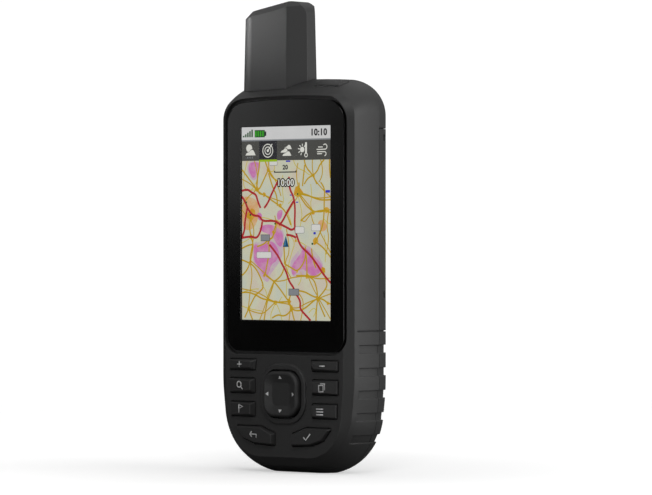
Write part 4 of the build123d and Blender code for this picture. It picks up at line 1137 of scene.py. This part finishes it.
# %% Print on the keys
KEY_FACE_DEPTH = -16.8
KEY_RISE = {"zoom": 5.6, "find": 5.6, "page": 5.6, "mark": 5.6, "menu": 5.6, "quit": 2.0, "enter": 2.0}
KEY_INNER = {"zoom": 13.4, "find": 13.9, "page": 13.9, "mark": 13.9, "menu": 13.9, "quit": 4.5, "enter": 4.5}
SYMBOL_PLACES = {
    "zoom_in_key": (-19.2, 37.15),
    "zoom_out_key": (18.0, 37.15),
    "find_key": (-18.9, 29.85),
    "page_key": (17.9, 29.5),
    "mark_key": (-18.5, 21.7),
    "menu_key": (17.1, 21.5),
    "quit_key": (-12.8, 12.7),
    "enter_key": (11.4, 12.7),
}
for key, (x, z) in SYMBOL_PLACES.items():
    drawing = [[(SYMBOL_SCALE * a, SYMBOL_SCALE * b) for a, b in stroke] for stroke in SYMBOLS[key]]
    kind = key.split("_")[0]
    rise = math.radians(KEY_RISE[kind])
    face_depth = KEY_FACE_DEPTH + (abs(x) - KEY_INNER[kind]) * math.tan(rise)
    lean = Matrix.Rotation(math.copysign(rise, x), 4, "Z")
    placement = Matrix.Translation(Vector((x, face_depth, z)) * MM) @ lean @ upright(0, 0, 0)
    settle(
        key + "_print",
        strokes(drawing, SYMBOL_LINE, smooth=False),
        placement @ flat(SYMBOL_LINE, 2 * PRINT_HEIGHT),
        key,
        key_print,
    )
print("keys printed")

# %% Arrows on the rocker
ROCKER_HEIGHT_UP = 27.2
ARROW_REACH = 5.75
ARROW_DEPTH = -17.2
ARROW_SLOPE = 17.8
ARROW = [(-0.75, -0.5), (0.75, -0.5), (0, 0.65)]
for number, turn in enumerate((0, 90, 180, 270)):
    spin = Matrix.Rotation(math.radians(turn), 4, "Y")
    lean = Matrix.Rotation(math.radians(ARROW_SLOPE), 4, "X")
    centre = Matrix.Translation(Vector((0, 0, ROCKER_HEIGHT_UP)) * MM)
    out = Matrix.Translation(Vector((0, ARROW_DEPTH, ARROW_REACH)) * MM)
    settle(
        "rocker_arrow_" + str(number),
        filled([ARROW], 0.03),
        centre @ spin @ out @ lean @ upright(0, 0, 0),
        "rocker_cap",
        key_print,
    )
print("four arrows on the rocker")

# %% [markdown]
# ## Floor and light
# The unit stands on a white table that fades into white surroundings. The table is painted a little darker
# round the foot, which deepens the soft shadow there, and it gives the camera some light of its own, so
# that it reads as white. Toward everything but the camera it is dark, and so throws little light up at the
# unit. A broad soft box stands on the right, another hangs overhead and a small one stands at the front
# right. Four small lamps shape the dark front: one beside the antenna, one high at the left, one low before
# the keys, and one that only gloss mirrors, as a soft glow at the upper left of the display glass. The
# surroundings look white, but light the unit only dimly and from the right, because black glass needs
# something dark to show.

# %% Floor
FLOOR_RADIUS = 0.75
FADE_START = 0.3
FLOOR_LIFT = 0.5
FLOOR_BOUNCE = 0.12
floor_mesh = bpy.data.meshes.new("floor")
sheet = bmesh.new()
bmesh.ops.create_circle(sheet, cap_ends=True, segments=96, radius=FLOOR_RADIUS)
sheet.to_mesh(floor_mesh)
sheet.free()
floor = bpy.data.objects.new("floor", floor_mesh)
scene.collection.objects.link(floor)
paper, tree, shader = new_finish("white table", Roughness=0.8, Specular_IOR_Level=0.1, Emission_Color=grey(1.0))
place = add_node(tree, "ShaderNodeTexCoord")
away = add_node(tree, "ShaderNodeVectorMath", operation="LENGTH")
foot_shade = add_node(tree, "ShaderNodeValToRGB")
foot_shade.color_ramp.interpolation = "EASE"
set_stops(foot_shade, (0.02, grey(0.66)), (0.2, grey(0.95)))
fade = add_node(tree, "ShaderNodeMapRange", interpolation_type="SMOOTHSTEP", To_Min=1.0, To_Max=0.0)
fade.inputs["From Min"].default_value = FADE_START
fade.inputs["From Max"].default_value = FLOOR_RADIUS
bounce = add_node(tree, "ShaderNodeMix", data_type="RGBA")
bounce.inputs[6].default_value = grey(FLOOR_BOUNCE)
glow = add_node(tree, "ShaderNodeMath", operation="MULTIPLY")
glow.inputs[1].default_value = FLOOR_LIFT
seen_directly = tree.nodes.new("ShaderNodeLightPath")
join(tree, place.outputs["Object"], away.inputs[0])
join(tree, away.outputs["Value"], foot_shade.inputs["Fac"])
join(tree, away.outputs["Value"], fade.inputs["Value"])
join(tree, foot_shade.outputs["Color"], bounce.inputs[7])
join(tree, seen_directly.outputs["Is Camera Ray"], bounce.inputs["Factor"])
join(tree, seen_directly.outputs["Is Camera Ray"], glow.inputs[0])
join(tree, bounce.outputs[2], shader.inputs["Base Color"])
join(tree, glow.outputs["Value"], shader.inputs["Emission Strength"])
join(tree, fade.outputs["Result"], shader.inputs["Alpha"])
floor_mesh.materials.append(paper)
print("floor", 2 * FLOOR_RADIUS, "m wide")


# %% Lights
def soft_box(name, place_at, aim, width, height, power):
    """A rectangular lamp at a place, turned to face a point."""
    lamp = bpy.data.lights.new(name, "AREA")
    lamp.shape = "RECTANGLE"
    lamp.size = width
    lamp.size_y = height
    lamp.energy = power
    holder = bpy.data.objects.new(name, lamp)
    holder.location = place_at
    holder.rotation_euler = (Vector(aim) - Vector(place_at)).to_track_quat("-Z", "Y").to_euler()
    scene.collection.objects.link(holder)
    return holder


middle = (cad_box[0] + cad_box[1]) / 2
antenna_aim = (-0.01, -0.005, 0.16)
soft_box("right_box", (1.2, 0.3, 0.3), middle, 1.0, 0.8, 9.5)
soft_box("top_box", (-0.2, 0.3, 1.3), middle, 2.0, 2.0, 7.5)
soft_box("front_box", (0.4, -0.5, 0.7), middle, 0.3, 0.3, 1.9)
antenna_box = soft_box("antenna_box", (-0.1, -0.05, 0.165), antenna_aim, 0.03, 0.03, 0.0038)
antenna_box.data.spread = math.radians(38)
soft_box("left_box", (-0.5, 0.0, 0.35), antenna_aim, 0.25, 0.25, 0.09)
soft_box("key_box", (0.02, -0.4, 0.05), (0, -0.015, 0.02), 0.12, 0.12, 0.26)
glow_box = soft_box("glow_box", (-0.31, -0.3, 0.195), (0, 0, 0.12), 0.12, 0.2, 0.075)
glow_box.visible_diffuse = False

world = bpy.data.worlds.new("studio")
scene.world = world
world.use_nodes = True
sky = world.node_tree
sky.nodes.clear()
out = sky.nodes.new("ShaderNodeOutputWorld")
seen = add_node(sky, "ShaderNodeBackground", Strength=1.05)
seen.inputs["Color"].default_value = grey(1.0)
around = add_node(sky, "ShaderNodeBackground", Strength=0.26)
path = sky.nodes.new("ShaderNodeLightPath")
choose = sky.nodes.new("ShaderNodeMixShader")
way = sky.nodes.new("ShaderNodeTexCoord")
toward = add_node(sky, "ShaderNodeVectorMath", operation="DOT_PRODUCT")
toward.inputs[1].default_value = (0.72, 0.6, 0.35)
shade = add_node(sky, "ShaderNodeMapRange", interpolation_type="SMOOTHSTEP", From_Min=-0.4, From_Max=0.8)
shade.inputs["To Min"].default_value = 0.02
join(sky, way.outputs["Generated"], toward.inputs[0])
join(sky, toward.outputs["Value"], shade.inputs["Value"])
join(sky, shade.outputs["Result"], around.inputs["Color"])
join(sky, path.outputs["Is Camera Ray"], choose.inputs["Fac"])
join(sky, around.outputs["Background"], choose.inputs[1])
join(sky, seen.outputs["Background"], choose.inputs[2])
join(sky, choose.outputs["Shader"], out.inputs["Surface"])
scene.view_settings.view_transform = "Standard"
print("lights set")
